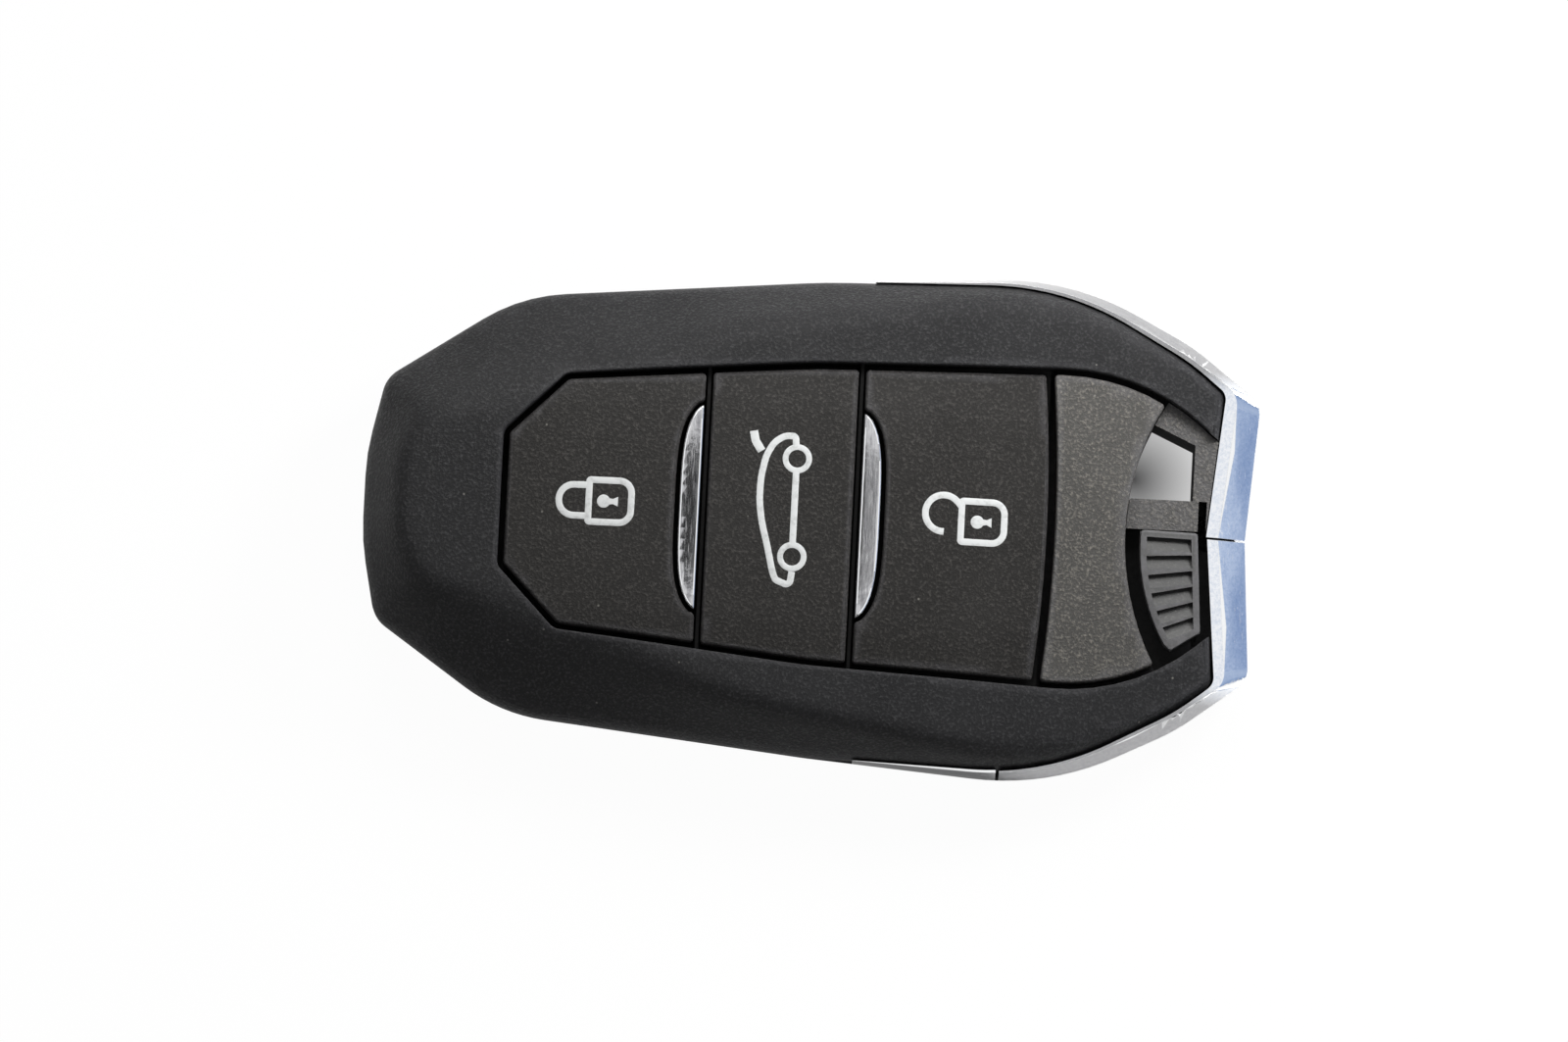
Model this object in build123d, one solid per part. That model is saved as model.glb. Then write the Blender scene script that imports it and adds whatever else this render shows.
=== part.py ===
from build123d import *
import math
import os

# Proximity car key: a casing of two shells with a bright end, three push buttons, a key ring
# window, and an emergency key that pulls out of the bright end once its ribbed release is pushed.
# Frame: origin at the middle of the footprint on the resting face, +X to the bright end, +Z to
# the buttons. All sizes are in millimetres. A size whose name ends in IN is measured in from the
# nose or from the bright end, and one that ends in HALF is measured from the middle line.

# Overall sizes
LENGTH = 81.0
WIDTH = 45.6
THICKNESS = 15.5

# Walls and clearances
WALL = 1.5
FRAME_CLEARANCE = 0.2
KEY_CLEARANCE = 0.15
BAND_CLEARANCE = 0.05
SEAT_GAP = 0.1
FLOOR_GAP = 0.45

# Heights of what is stacked up between the two shells
COVER_FLOOR = 1.4
PLATE_THICKNESS = 1.0
BOARD_GAP = 0.5
BOARD_THICKNESS = 1.0
SWITCH_HEIGHT = 1.3
MAT_THICKNESS = 0.6
PIP_HEIGHT = 0.4

# Front face: two crossed arcs, the highest point a little towards the nose
CROWN_PEAK_IN = 28.5
CROWN_END_DROP = 7.0
CROWN_CROSS_RADIUS = 90.0

# Plan of the casing at its widest level
NOSE_HALF_FLAT = 4.0
NOSE_CORNER_IN = 1.45
NOSE_CORNER_HALF = 10.95
SHOULDER_IN = 13.3
SHOULDER_HALF = 19.0
HIP_IN = 17.7
HIP_RISE = 0.44
FLANK_IN = 6.3
FLANK_HALF = 17.5
TAIL_CORNER_HALF = 12.6
TAIL_CORNER_OUT = 0.08
TAIL_DIP = 0.8
NOSE_ROUND = 20.0
NOSE_CORNER_ROUND = 3.0
SHOULDER_ROUND = 16.0
SIDE_ROUND = 60.0
HIP_ROUND = 25.0
FLANK_ROUND = 20.0
TAIL_CORNER_ROUND = 2.0
TAIL_DIP_ROUND = 1.0

# Rear shell: how far its outline draws in towards the resting face
COVER_FOOT_INSET = 2.4
COVER_EDGE_INSET = 1.1
COVER_EDGE_Z = 0.8
COVER_SIDE_INSET = 0.3
COVER_SIDE_Z = 2.4
COVER_INSIDE_DRAW = 1.3
COVER_INSIDE_RISE = 1.4

# Where the black shell's edge leaves the widest outline and runs inside the bright band
BAND_SPREAD_X = 0.5
BAND_SPREAD_HALF = 21.65
BAND_START_X = 5.0
BAND_HEIGHT = 3.0
BAND_HIP_WIDTH = 1.03
BAND_HIP_SHIFT = 0.5
BAND_HIP_FACET = 0.4
BAND_FLANK_WIDTH = 1.65
BAND_FLANK_SHIFT = 0.2
BAND_FLANK_FACET = 0.5
END_BLOCK_DEPTH = 3.2
END_BLOCK_DIP = 4.45
END_CORNER_RISE = 0.6
END_CORNER_ROUND = 1.2
END_FACET = 1.15
END_BOTTOM_Z = 1.6
END_LOW_SHOULDER_Z = 3.0
END_TOP_SLOPE = 2.0
END_UNDERCUT = 0.7
END_SPLIT = 0.2
SIDE_SPLIT_X = 18.2
SIDE_SPLIT = 0.3

# Ridge where the shell's sloping sides would meet at full height
RIDGE_NOSE_IN = 4.3
RIDGE_NOSE_HALF = 3.2
RIDGE_CORNER_IN = 6.3
RIDGE_CORNER_HALF = 6.4
RIDGE_SHOULDER_IN = 18.0
RIDGE_SHOULDER_HALF = 10.0
RIDGE_FLARE_IN = 34.5
RIDGE_FLARE_HALF = 15.7
RIDGE_HIP_IN = 22.5
RIDGE_HIP_HALF = 18.4
RIDGE_FLANK_IN = 7.5
RIDGE_FLANK_HALF = 12.5
RIDGE_TAIL_IN = 4.3
RIDGE_TAIL_HALF = 10.8
RIDGE_TAIL_DIP = 1.0
RIDGE_NOSE_ROUND = 5.0
RIDGE_FLARE_ROUND = 30.0
RIDGE_FLANK_ROUND = 10.0

# Window in the front shell, open at the bright end
WINDOW_NOSE_IN = 12.5
WINDOW_NOSE_HALF = 6.15
WINDOW_CORNER_IN = 17.9
WINDOW_CORNER_HALF = 11.6
WINDOW_MIDDLE_HALF = 13.75
WINDOW_TAIL_IN = 10.6
WINDOW_TAIL_HALF = 14.8
WINDOW_END_IN = 4.3
WINDOW_END_HALF = 9.4
WINDOW_MOUTH_OUT = 1.7
WINDOW_MOUTH_HALF = 4.9
WINDOW_NOSE_ROUND = 1.2
WINDOW_CORNER_ROUND = 1.5
WINDOW_TAIL_ROUND = 19.0

# Buttons, whose caps fall away in a flat facet towards each long side
BUTTON_GAP = 0.55
BUTTON_SINK = 0.45
BUTTON_SKIN = 1.2
BUTTON_TRAVEL = 0.5
BUTTON_FREE_PLAY = 0.1
FACET_HALF = 9.6
FACET_FALL = 0.12
BOOT_BUTTON_CENTRE_X = -2.725
BOOT_BUTTON_LENGTH = 13.15
SEPARATOR_GAP = 0.65
SEPARATOR_WALL = 0.3
SEPARATOR_TUCK = 0.5
PLUNGER_RADIUS = 2.6
PIP_RADIUS = 2.2
PANEL_GAP = 0.75
RIM_WIDTH = 1.2
RIM_END_IN = 1.0
MAT_TUCK = 1.6
MAT_END_IN = 1.0

# Bright strips between the buttons
STRIP_WIDTH = 1.85
STRIP_HALF_LENGTH = 9.3
STRIP_STAND_OFF = 0.35
STRIP_GAP = 0.4
STRIP_SINK = 0.2
STRIP_BEVEL = 0.3
STRIP_TIP_NARROWING = 0.55
STRIP_TIP_LENGTH = 1.0
STRIP_TAPER_LENGTH = 3.2
STRIP_TIP_ROUND = 0.8
STRIP_BOW_ROUND = 6.0

# Tail panel between the buttons and the key ring window
PANEL_LEFT_IN = 18.2
PANEL_LEFT_BOW = 0.7
PANEL_RIGHT_IN = 11.8
PANEL_RIGHT_BOW = 3.0
PANEL_RIGHT_HALF = 11.6
PANEL_RIGHT_LEAN = 0.6
PANEL_SKIN = 1.3
PANEL_SINK = 0.4

# Key ring window and the table round it
RING_END_IN = 5.75
RING_LOW_Y = 3.3
RING_HIGH_Y = 10.1
RING_END_HIGH_Y = 8.4
RING_TOP_RUN = 3.8
RING_WALL = 1.15
RING_FOOT_Z = 0.6
DECK_HEIGHT = 1.9
MOAT_FLOOR = 0.4

# Ribbed release: its widths are measured from its straight right edge
SLIDER_END_IN = 5.2
SLIDER_TOP_Y = 0.3
SLIDER_TOP_WIDTH = 5.2
SLIDER_WAIST_WIDTH = 4.65
SLIDER_FOOT_WIDTH = 2.6
SLIDER_FOOT_CUT = 0.5
SLIDER_FOOT_TIP = 2.0
SLIDER_FOOT_RISE = 1.8
SLIDER_FOOT_OUT = 0.65
SLIDER_BOTTOM_Y = -10.5
SLIDER_SINK = 0.1
SLIDER_TRAVEL = 2.5
SLIDER_SIDE_GAP = 0.75
SLIDER_END_GAP = 0.25
SLIDER_RIBS = 6
SLIDER_RIB_FRAME = 0.6
SLIDER_RIB_DEPTH = 0.75
SLIDER_RIB_CREST = 0.1
SLIDER_RIB_SHARE = 0.85
SLIDER_RIB_FAN = 22.0
STEM_WIDTH = 1.2
STEM_LENGTH = 1.4
STEM_IN = 0.8
STEM_RISE = 2.6
CATCH_DEPTH = 0.6

# Return spring of the release
SPRING_WIRE = 0.2
SPRING_RADIUS = 0.5
SPRING_TURNS = 4
SPRING_LENGTH = 5.2
SPRING_IN = 2.7
SPRING_DOWN = 1.1
SPRING_FINGER = 0.6

# Emergency key
BLADE_WIDTH = 7.5
BLADE_THICKNESS = 2.2
BLADE_Y = -7.45
BLADE_NOSE_GAP = 16.0
BLADE_ROOT_IN = 6.5
BLADE_TIP_CHAMFER = 1.9
BLADE_GROOVE_WIDTH = 2.0
BLADE_GROOVE_DEPTH = 0.6
BLADE_GROOVE_STOP = 1.0
HEAD_IN = 15.5
HEAD_SIDE = 0.5
HEAD_HEIGHT = 3.0
HEAD_PLUS_Y = -1.0
SLEEVE_WALL = 0.8
SLEEVE_FLOOR = 0.6
SLEEVE_ROOF = 0.45
RIVET_RADIUS = 1.2
RIVET_IN = 10.5

# Coin cell, a common 20 mm by 3.2 mm size, and the two strips that touch it
CELL_RADIUS = 10.0
CELL_THICKNESS = 3.2
CELL_EDGE_ROUND = 0.4
CELL_CAP_HEIGHT = 0.3
CELL_CAP_INSET = 1.2
CELL_X = -6.0
CELL_CLEARANCE = 0.2
CELL_RING_WALL = 0.9
CELL_RING_HEIGHT = 2.2
CELL_LEDGE = 2.0
CELL_BLADE_WALL = 1.35
CONTACT_THICKNESS = 0.25
CONTACT_WIDTH = 4.0
CONTACT_BACK = 6.0
CONTACT_FRONT = 4.0
CONTACT_GRIP_Z = 0.6

# Circuit board and its pegs
BOARD_INSET = 1.1
BOARD_END_IN = 20.0
PEG_RADIUS = 0.8
PEG_CLEARANCE = 0.1
PEG_COLLAR = 0.6
PEG_TIP = 0.3
PEG_NOSE_IN = 10.5
PEG_NOSE_HALF = 8.0
PEG_TAIL_IN = 23.0
PEG_TAIL_HALF = 15.0

# What the board carries
SWITCH_SIZE = 4.0
SWITCH_STEM_HEIGHT = 0.4
SWITCH_STEM_RADIUS = 1.0
CHIP_PART = (1.6, 0.8, 0.6)
CHIP_PARTS_IN_ROW = 6
CHIP_ROW_IN = 16.5
CHIP_ROW_PITCH = 2.6
CHIP_ROW_HALF = 13.3
CONTROLLER = (6.0, 6.0, 0.9)
CONTROLLER_IN = 26.5
CONTROLLER_Y = -7.5
RADIO = (4.0, 4.0, 0.8)
CRYSTAL = (3.2, 2.5, 0.7)
RADIO_IN = 35.5
RADIO_Y = 8.5
RADIO_TO_CRYSTAL = 5.5
COIL_LENGTH = 6.0
COIL_WIDTH = 7.5
COIL_HEIGHT = 3.0
COIL_IN = 7.3
WINDING_PROUD = 0.3
WINDING_WIDTH = 3.0
WINDING_DROP = 0.6
ANTENNA_INSET = 0.4
ANTENNA_WIDTH = 0.6
ANTENNA_HEIGHT = 0.5
ANTENNA_LENGTH = 9.0

# Worked out once for every piece: places along the key and levels
HALF_LENGTH = LENGTH / 2
HALF_WIDTH = WIDTH / 2
REACH = 2 * LENGTH
CROWN_PEAK_X = -HALF_LENGTH + CROWN_PEAK_IN
CROWN_RUN = HALF_LENGTH - CROWN_PEAK_X
CROWN_LONG_RADIUS = (CROWN_RUN ** 2 + CROWN_END_DROP ** 2) / (2 * CROWN_END_DROP)
SEPARATOR_LEFT_X = BOOT_BUTTON_CENTRE_X - BOOT_BUTTON_LENGTH / 2 - SEPARATOR_GAP / 2
SEPARATOR_RIGHT_X = BOOT_BUTTON_CENTRE_X + BOOT_BUTTON_LENGTH / 2 + SEPARATOR_GAP / 2
PANEL_LEFT_X = HALF_LENGTH - PANEL_LEFT_IN
LOCK_BUTTON_X = (-HALF_LENGTH + WINDOW_NOSE_IN + SEPARATOR_LEFT_X) / 2
UNLOCK_BUTTON_X = (SEPARATOR_RIGHT_X + PANEL_LEFT_X) / 2
SLIDER_EDGE_X = HALF_LENGTH - SLIDER_END_IN
BLADE_TIP_X = -HALF_LENGTH + BLADE_NOSE_GAP
BLADE_ROOT_X = HALF_LENGTH - BLADE_ROOT_IN
CELL_Y = (BLADE_Y + BLADE_WIDTH / 2 + KEY_CLEARANCE + CELL_BLADE_WALL + CELL_CLEARANCE
          + CELL_RADIUS)
CELL_Z = COVER_FLOOR + FLOOR_GAP
CELL_STACK = CELL_THICKNESS + CONTACT_THICKNESS + SEAT_GAP
BLADE_STACK = SLEEVE_FLOOR + BLADE_THICKNESS + 2 * KEY_CLEARANCE + SLEEVE_ROOF
PARTING_Z = CELL_Z + max(CELL_STACK, BLADE_STACK)
BLADE_Z = PARTING_Z - SLEEVE_ROOF - KEY_CLEARANCE - BLADE_THICKNESS
HEAD_Z = BLADE_Z + BLADE_THICKNESS / 2 - HEAD_HEIGHT / 2
HEAD_TOP_Z = HEAD_Z + HEAD_HEIGHT
BAND_TOP_Z = PARTING_Z + BAND_HEIGHT
PLATE_TOP_Z = PARTING_Z + PLATE_THICKNESS
MOAT_Z = PARTING_Z + MOAT_FLOOR
DECK_Z = PLATE_TOP_Z + DECK_HEIGHT
BOARD_Z = PLATE_TOP_Z + BOARD_GAP
BOARD_TOP_Z = BOARD_Z + BOARD_THICKNESS
MAT_Z = BOARD_TOP_Z + SWITCH_HEIGHT + SEAT_GAP
MAT_TOP_Z = MAT_Z + MAT_THICKNESS
PIP_TOP_Z = MAT_TOP_Z + PIP_HEIGHT
SKIRT_Z = MAT_TOP_Z + BUTTON_TRAVEL + BUTTON_FREE_PLAY
PLUNGER_Z = PIP_TOP_Z + BUTTON_TRAVEL + BUTTON_FREE_PLAY

# Each outline lists the corners of its +Y half as (x, y, rounding), from the nose to the tail
HIP_X = HALF_LENGTH - HIP_IN
HIP_HALF = HALF_WIDTH + HIP_RISE
FLANK_X = HALF_LENGTH - FLANK_IN
WIDEST = [
    (-HALF_LENGTH, NOSE_HALF_FLAT, NOSE_ROUND),
    (-HALF_LENGTH + NOSE_CORNER_IN, NOSE_CORNER_HALF, NOSE_CORNER_ROUND),
    (-HALF_LENGTH + SHOULDER_IN, SHOULDER_HALF, SHOULDER_ROUND),
    (BAND_SPREAD_X, BAND_SPREAD_HALF, SIDE_ROUND),
    (HIP_X, HIP_HALF, HIP_ROUND),
    (FLANK_X, FLANK_HALF, FLANK_ROUND),
    (HALF_LENGTH + TAIL_CORNER_OUT, TAIL_CORNER_HALF, TAIL_CORNER_ROUND),
    (HALF_LENGTH - TAIL_DIP, 0, TAIL_DIP_ROUND),
]
SHELL_EDGE = WIDEST[:4] + [
    (HIP_X - BAND_HIP_SHIFT, HIP_HALF - BAND_HIP_WIDTH, HIP_ROUND),
    (FLANK_X - BAND_FLANK_SHIFT, FLANK_HALF - BAND_FLANK_WIDTH, FLANK_ROUND),
    (HALF_LENGTH - END_BLOCK_DEPTH, TAIL_CORNER_HALF + END_CORNER_RISE, END_CORNER_ROUND),
    (HALF_LENGTH - END_BLOCK_DIP, 0, TAIL_DIP_ROUND),
]
BAND_TOP = WIDEST[:4] + [
    (HIP_X - BAND_HIP_SHIFT, HIP_HALF - BAND_HIP_WIDTH + BAND_HIP_FACET, HIP_ROUND),
    (FLANK_X - BAND_FLANK_SHIFT, FLANK_HALF - BAND_FLANK_WIDTH + BAND_FLANK_FACET, FLANK_ROUND),
    (HALF_LENGTH - END_BLOCK_DEPTH + END_FACET, TAIL_CORNER_HALF + END_CORNER_RISE,
     TAIL_CORNER_ROUND),
    (HALF_LENGTH - END_BLOCK_DIP + END_FACET, 0, TAIL_DIP_ROUND),
]
RIDGE = [
    (-HALF_LENGTH + RIDGE_NOSE_IN, RIDGE_NOSE_HALF, RIDGE_NOSE_ROUND),
    (-HALF_LENGTH + RIDGE_CORNER_IN, RIDGE_CORNER_HALF, NOSE_CORNER_ROUND),
    (-HALF_LENGTH + RIDGE_SHOULDER_IN, RIDGE_SHOULDER_HALF, SHOULDER_ROUND),
    (-HALF_LENGTH + RIDGE_FLARE_IN, RIDGE_FLARE_HALF, RIDGE_FLARE_ROUND),
    (HALF_LENGTH - RIDGE_HIP_IN, RIDGE_HIP_HALF, HIP_ROUND),
    (HALF_LENGTH - RIDGE_FLANK_IN, RIDGE_FLANK_HALF, RIDGE_FLANK_ROUND),
    (HALF_LENGTH - RIDGE_TAIL_IN, RIDGE_TAIL_HALF, TAIL_CORNER_ROUND),
    (HALF_LENGTH - RIDGE_TAIL_IN - RIDGE_TAIL_DIP, 0, TAIL_DIP_ROUND),
]
WINDOW = [
    (-HALF_LENGTH + WINDOW_NOSE_IN, WINDOW_NOSE_HALF, WINDOW_NOSE_ROUND),
    (-HALF_LENGTH + WINDOW_CORNER_IN, WINDOW_CORNER_HALF, WINDOW_CORNER_ROUND),
    (0, WINDOW_MIDDLE_HALF, SIDE_ROUND),
    (HALF_LENGTH - WINDOW_TAIL_IN, WINDOW_TAIL_HALF, WINDOW_TAIL_ROUND),
    (HALF_LENGTH - WINDOW_END_IN, WINDOW_END_HALF, 0),
    (HALF_LENGTH + WINDOW_MOUTH_OUT, WINDOW_MOUTH_HALF, 0),
]


# Forms that several pieces share


def all_corners(half):
    """All corners of a symmetric outline, anticlockwise, from those of its +Y half."""
    lower = [(x, -y, r) for x, y, r in half]
    upper = [(x, y, r) for x, y, r in reversed(half) if y > 0]
    return lower + upper


def moved_in(corners, distance):
    """Corners of the same outline with every side moved in; roundings stay concentric."""
    sharpest = 0.2
    result = []
    for i, (x, y, rounding) in enumerate(corners):
        before, after = corners[i - 1], corners[(i + 1) % len(corners)]
        u = Vector(x - before[0], y - before[1]).normalized()
        v = Vector(after[0] - x, after[1] - y).normalized()
        mitre = distance / (1 + u.dot(v))
        convex = u.X * v.Y - u.Y * v.X > 0
        if rounding > 0:
            grown = rounding + max(distance, 0)
            rounding = max(rounding - distance, sharpest) if convex else grown
        result.append((x - mitre * (u.Y + v.Y), y + mitre * (u.X + v.X), rounding))
    return result


def plan_face(half, inset=0.0, z=0.0):
    """Flat face of a symmetric outline, moved in by inset, at height z."""
    corners = moved_in(all_corners(half), inset)
    points = [(x, y) for x, y, rounding in corners]
    roundings = [rounding for x, y, rounding in corners]
    return Pos(0, 0, z) * make_face(FilletPolyline(points, radius=roundings, close=True))


def prism(half, inset, low, high):
    """Upright block with a symmetric outline."""
    return extrude(plan_face(half, inset, low), high - low)


def sloped(lower, low, upper, high):
    """Block whose sides run straight from one (outline, inset) to another."""
    return loft([plan_face(*lower, z=low), plan_face(*upper, z=high)], ruled=True)


def block(low_x, high_x, low_y, high_y, low_z, high_z):
    """Box from its limits."""
    centre = Pos((low_x + high_x) / 2, (low_y + high_y) / 2, (low_z + high_z) / 2)
    return centre * Box(high_x - low_x, high_y - low_y, high_z - low_z)


def column(x, y, radius, low, high):
    """Upright cylinder from its centre and limits."""
    return Pos(x, y, (low + high) / 2) * Cylinder(radius, high - low)


def between_x(low, high):
    """Slab of everything between two stations along the length."""
    return block(low, high, -REACH, REACH, -REACH, REACH)


def cross_sag(y):
    """Fall of the front face's cross arc at a distance from the middle line."""
    return CROWN_CROSS_RADIUS - math.sqrt(CROWN_CROSS_RADIUS ** 2 - y ** 2)


def crown_height(x, y, drop=0.0):
    """Height of the front face over a point of the plan."""
    swing = CROWN_LONG_RADIUS - cross_sag(y)
    along = CROWN_LONG_RADIUS - math.sqrt(swing ** 2 - (x - CROWN_PEAK_X) ** 2)
    return THICKNESS - drop - along


def swung(section, drop):
    """Solid that a cross-section of the casing sweeps along the front face's long arc."""
    axis = Axis((CROWN_PEAK_X, 0, THICKNESS - drop - CROWN_LONG_RADIUS), (0, 1, 0))
    swing = math.degrees(LENGTH / CROWN_LONG_RADIUS)
    upright = Pos(CROWN_PEAK_X, 0, 0) * (Plane.YZ * section)
    return revolve(upright.rotate(axis, -swing), axis, 2 * swing)


def under_crown(drop=0.0):
    """Everything under the front face's doubly arched surface, lowered by drop."""
    top = THICKNESS - drop
    side = WIDTH
    edge = top - cross_sag(side)
    arch = ThreePointArc((-side, edge), (0, top), (side, edge))
    feet = Polyline((side, edge), (side, -THICKNESS), (-side, -THICKNESS), (-side, edge))
    return swung(make_face([arch, feet]), drop)


def under_caps(drop):
    """Everything under the buttons' tops: the arched face cut by a facet along each side."""
    top = THICKNESS - drop
    side = WIDTH
    slope = FACET_HALF / math.sqrt(CROWN_CROSS_RADIUS ** 2 - FACET_HALF ** 2) + FACET_FALL
    start = top - cross_sag(FACET_HALF)
    edge = start - (side - FACET_HALF) * slope
    roof = Polyline((-side, -THICKNESS), (side, -THICKNESS), (side, edge),
                    (0, start + FACET_HALF * slope), (-side, edge), close=True)
    return under_crown(drop) & swung(make_face(roof), drop)


def dome(inset, drop):
    """Front half of the casing above the bright band: sloping sides under the arched face."""
    sides = sloped((SHELL_EDGE, inset), BAND_TOP_Z, (RIDGE, inset), THICKNESS)
    return sides & under_crown(drop)


def left_panel_edge(shift, low, high):
    """Everything to the right of the bowed line between the unlock button and the tail panel."""
    x = PANEL_LEFT_X + shift
    bow_x = x - PANEL_LEFT_BOW
    bow = ThreePointArc((bow_x, -HALF_WIDTH), (x, 0), (bow_x, HALF_WIDTH))
    rest = Polyline(bow @ 1, (REACH, HALF_WIDTH), (REACH, -HALF_WIDTH), bow @ 0)
    return Pos(0, 0, low) * extrude(make_face([bow, rest]), high - low)


def right_panel_edge(shift, low, high):
    """Everything to the right of the hollow line that ends the tail panel."""
    x = HALF_LENGTH - PANEL_RIGHT_IN + shift
    half = PANEL_RIGHT_HALF
    bow = ThreePointArc((x + PANEL_RIGHT_BOW, -half), (x, 0), (x + PANEL_RIGHT_BOW, half))
    far_x = x + PANEL_RIGHT_BOW + PANEL_RIGHT_LEAN * HALF_WIDTH
    far_y = half + HALF_WIDTH
    rest = Polyline(bow @ 1, (far_x, far_y), (REACH, far_y), (REACH, -far_y), (far_x, -far_y),
                    bow @ 0)
    return Pos(0, 0, low) * extrude(make_face([bow, rest]), high - low)


def ring_window(grow, low, high):
    """Block of the key ring window's outline, moved out by grow on every side."""
    end = HALF_LENGTH - RING_END_IN + grow
    near = HALF_LENGTH - PANEL_RIGHT_IN - PANEL_RIGHT_BOW - grow
    slope = (RING_HIGH_Y - RING_END_HIGH_Y) / RING_TOP_RUN
    high_y = RING_END_HIGH_Y + grow * (math.hypot(1, slope) - slope)
    corners = [
        (near, RING_LOW_Y - grow),
        (end, RING_LOW_Y - grow),
        (end, high_y),
        (near, high_y + slope * (end - near)),
    ]
    outline = make_face(Polyline(*corners, close=True))
    return (Pos(0, 0, low) * extrude(outline, high - low)) & right_panel_edge(-grow, low, high)


# Casing


def chrome_form():
    """Outer form of the bright end and side band, before it is split and hollowed."""
    high_shoulder = BAND_TOP_Z - END_TOP_SLOPE
    low = sloped((WIDEST, END_UNDERCUT), END_BOTTOM_Z, (WIDEST, 0), END_LOW_SHOULDER_Z)
    middle = prism(WIDEST, 0, END_LOW_SHOULDER_Z, high_shoulder)
    return low + middle + sloped((WIDEST, 0), high_shoulder, (BAND_TOP, 0), BAND_TOP_Z)


def end_zone(clearance):
    """Space behind the shells' end line, where the bright end stands at its full height."""
    half = TAIL_CORNER_HALF + clearance
    tail = block(HALF_LENGTH - END_BLOCK_DIP - WALL, REACH, -half, half, -REACH, REACH)
    return tail - prism(SHELL_EDGE, 0, -REACH, REACH)


def bright_parts(clearance):
    """Side band and end in one, hollowed to the shell's edge with a clearance."""
    side = between_x(BAND_START_X, REACH) & prism(WIDEST, -1, PARTING_Z + SEAT_GAP, THICKNESS)
    form = chrome_form() & (side + end_zone(0))
    return form - prism(SHELL_EDGE, -clearance, -1, THICKNESS)


def chrome_band():
    """Bright band along the +Y side and round its half of the end."""
    return bright_parts(BAND_CLEARANCE) & block(0, REACH, END_SPLIT / 2, REACH, -REACH, REACH)


def lower_side_trim():
    """Short bright band on the other side, up to where the emergency key's corner starts."""
    side = block(0, SIDE_SPLIT_X - SIDE_SPLIT / 2, -REACH, 0, -REACH, REACH)
    return bright_parts(BAND_CLEARANCE) & side


def key_head_trim():
    """Bright corner of the casing that comes out with the emergency key."""
    side = block(SIDE_SPLIT_X + SIDE_SPLIT / 2, REACH, -REACH, -END_SPLIT / 2, -REACH, REACH)
    return bright_parts(KEY_CLEARANCE) & side


def rear_cover():
    """Snap-off back shell over the battery side."""
    outside = sloped((WIDEST, COVER_FOOT_INSET), 0, (WIDEST, COVER_EDGE_INSET), COVER_EDGE_Z)
    outside += sloped((WIDEST, COVER_EDGE_INSET), COVER_EDGE_Z,
                      (WIDEST, COVER_SIDE_INSET), COVER_SIDE_Z)
    outside += sloped((WIDEST, COVER_SIDE_INSET), COVER_SIDE_Z, (WIDEST, 0), PARTING_Z)
    full_z = COVER_FLOOR + COVER_INSIDE_RISE
    inside = sloped((WIDEST, WALL + COVER_INSIDE_DRAW), COVER_FLOOR, (WIDEST, WALL), full_z)
    inside += prism(WIDEST, WALL, full_z, PARTING_Z)
    mouth_z = END_BOTTOM_Z - SEAT_GAP
    mouth_half = TAIL_CORNER_HALF - WALL
    mouth = block(BLADE_ROOT_X - WALL, REACH, -mouth_half, mouth_half, mouth_z, REACH)
    mouth += end_zone(SEAT_GAP) & block(0, REACH, -REACH, REACH, mouth_z, REACH)
    return outside - inside - mouth - ring_window(RING_WALL + KEY_CLEARANCE, -1, THICKNESS)


def front_shell():
    """Soft black front casing, a horseshoe round the buttons with two horns at the end."""
    outside = prism(SHELL_EDGE, 0, PARTING_Z + SEAT_GAP, BAND_TOP_Z) + dome(0, 0)
    inside = prism(SHELL_EDGE, WALL, PARTING_Z, BAND_TOP_Z) + dome(WALL, WALL)
    return outside - inside - prism(WINDOW, 0, 0, REACH)


def tail_panel():
    """Textured cap between the unlock button and the key ring window."""
    top = THICKNESS
    plan = left_panel_edge(0, PLATE_TOP_Z, top) - right_panel_edge(0, PLATE_TOP_Z, top)
    outside = plan & prism(WINDOW, BUTTON_GAP, PLATE_TOP_Z, top) & under_crown(PANEL_SINK)
    hollow = left_panel_edge(PANEL_SKIN, 0, top) - right_panel_edge(-PANEL_SKIN, 0, top)
    inside = hollow & prism(WINDOW, BUTTON_GAP + PANEL_SKIN, 0, top)
    return outside - (inside & under_crown(PANEL_SINK + PANEL_SKIN))


# Chassis


def inner_frame():
    """Chassis between the shells: board plate, cell ring, blade sleeve and key ring window."""
    inset = WALL + FRAME_CLEARANCE
    frame = prism(SHELL_EDGE, inset, PARTING_Z, PLATE_TOP_Z)
    frame -= column(CELL_X, CELL_Y, CELL_RADIUS - CELL_LEDGE, 0, REACH)
    frame += cell_ring() & prism(SHELL_EDGE, inset, 0, PARTING_Z)
    frame += sleeve_block() + tail_table()
    for x, y in board_pegs():
        frame += column(x, y, PEG_RADIUS + PEG_COLLAR, PLATE_TOP_Z, BOARD_Z)
        frame += column(x, y, PEG_RADIUS, BOARD_Z, BOARD_TOP_Z + PEG_TIP)
    frame -= release_moat() + ring_window(0, -1, REACH)
    frame -= blade_tunnel() + contact_slot()
    return frame - stem_slot() - spring_channel()


def cell_ring():
    """Ring that holds the coin cell, hanging from the plate."""
    pocket = CELL_RADIUS + CELL_CLEARANCE
    ring = column(CELL_X, CELL_Y, pocket + CELL_RING_WALL, PARTING_Z - CELL_RING_HEIGHT, PARTING_Z)
    return ring - column(CELL_X, CELL_Y, pocket, 0, REACH)


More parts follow.
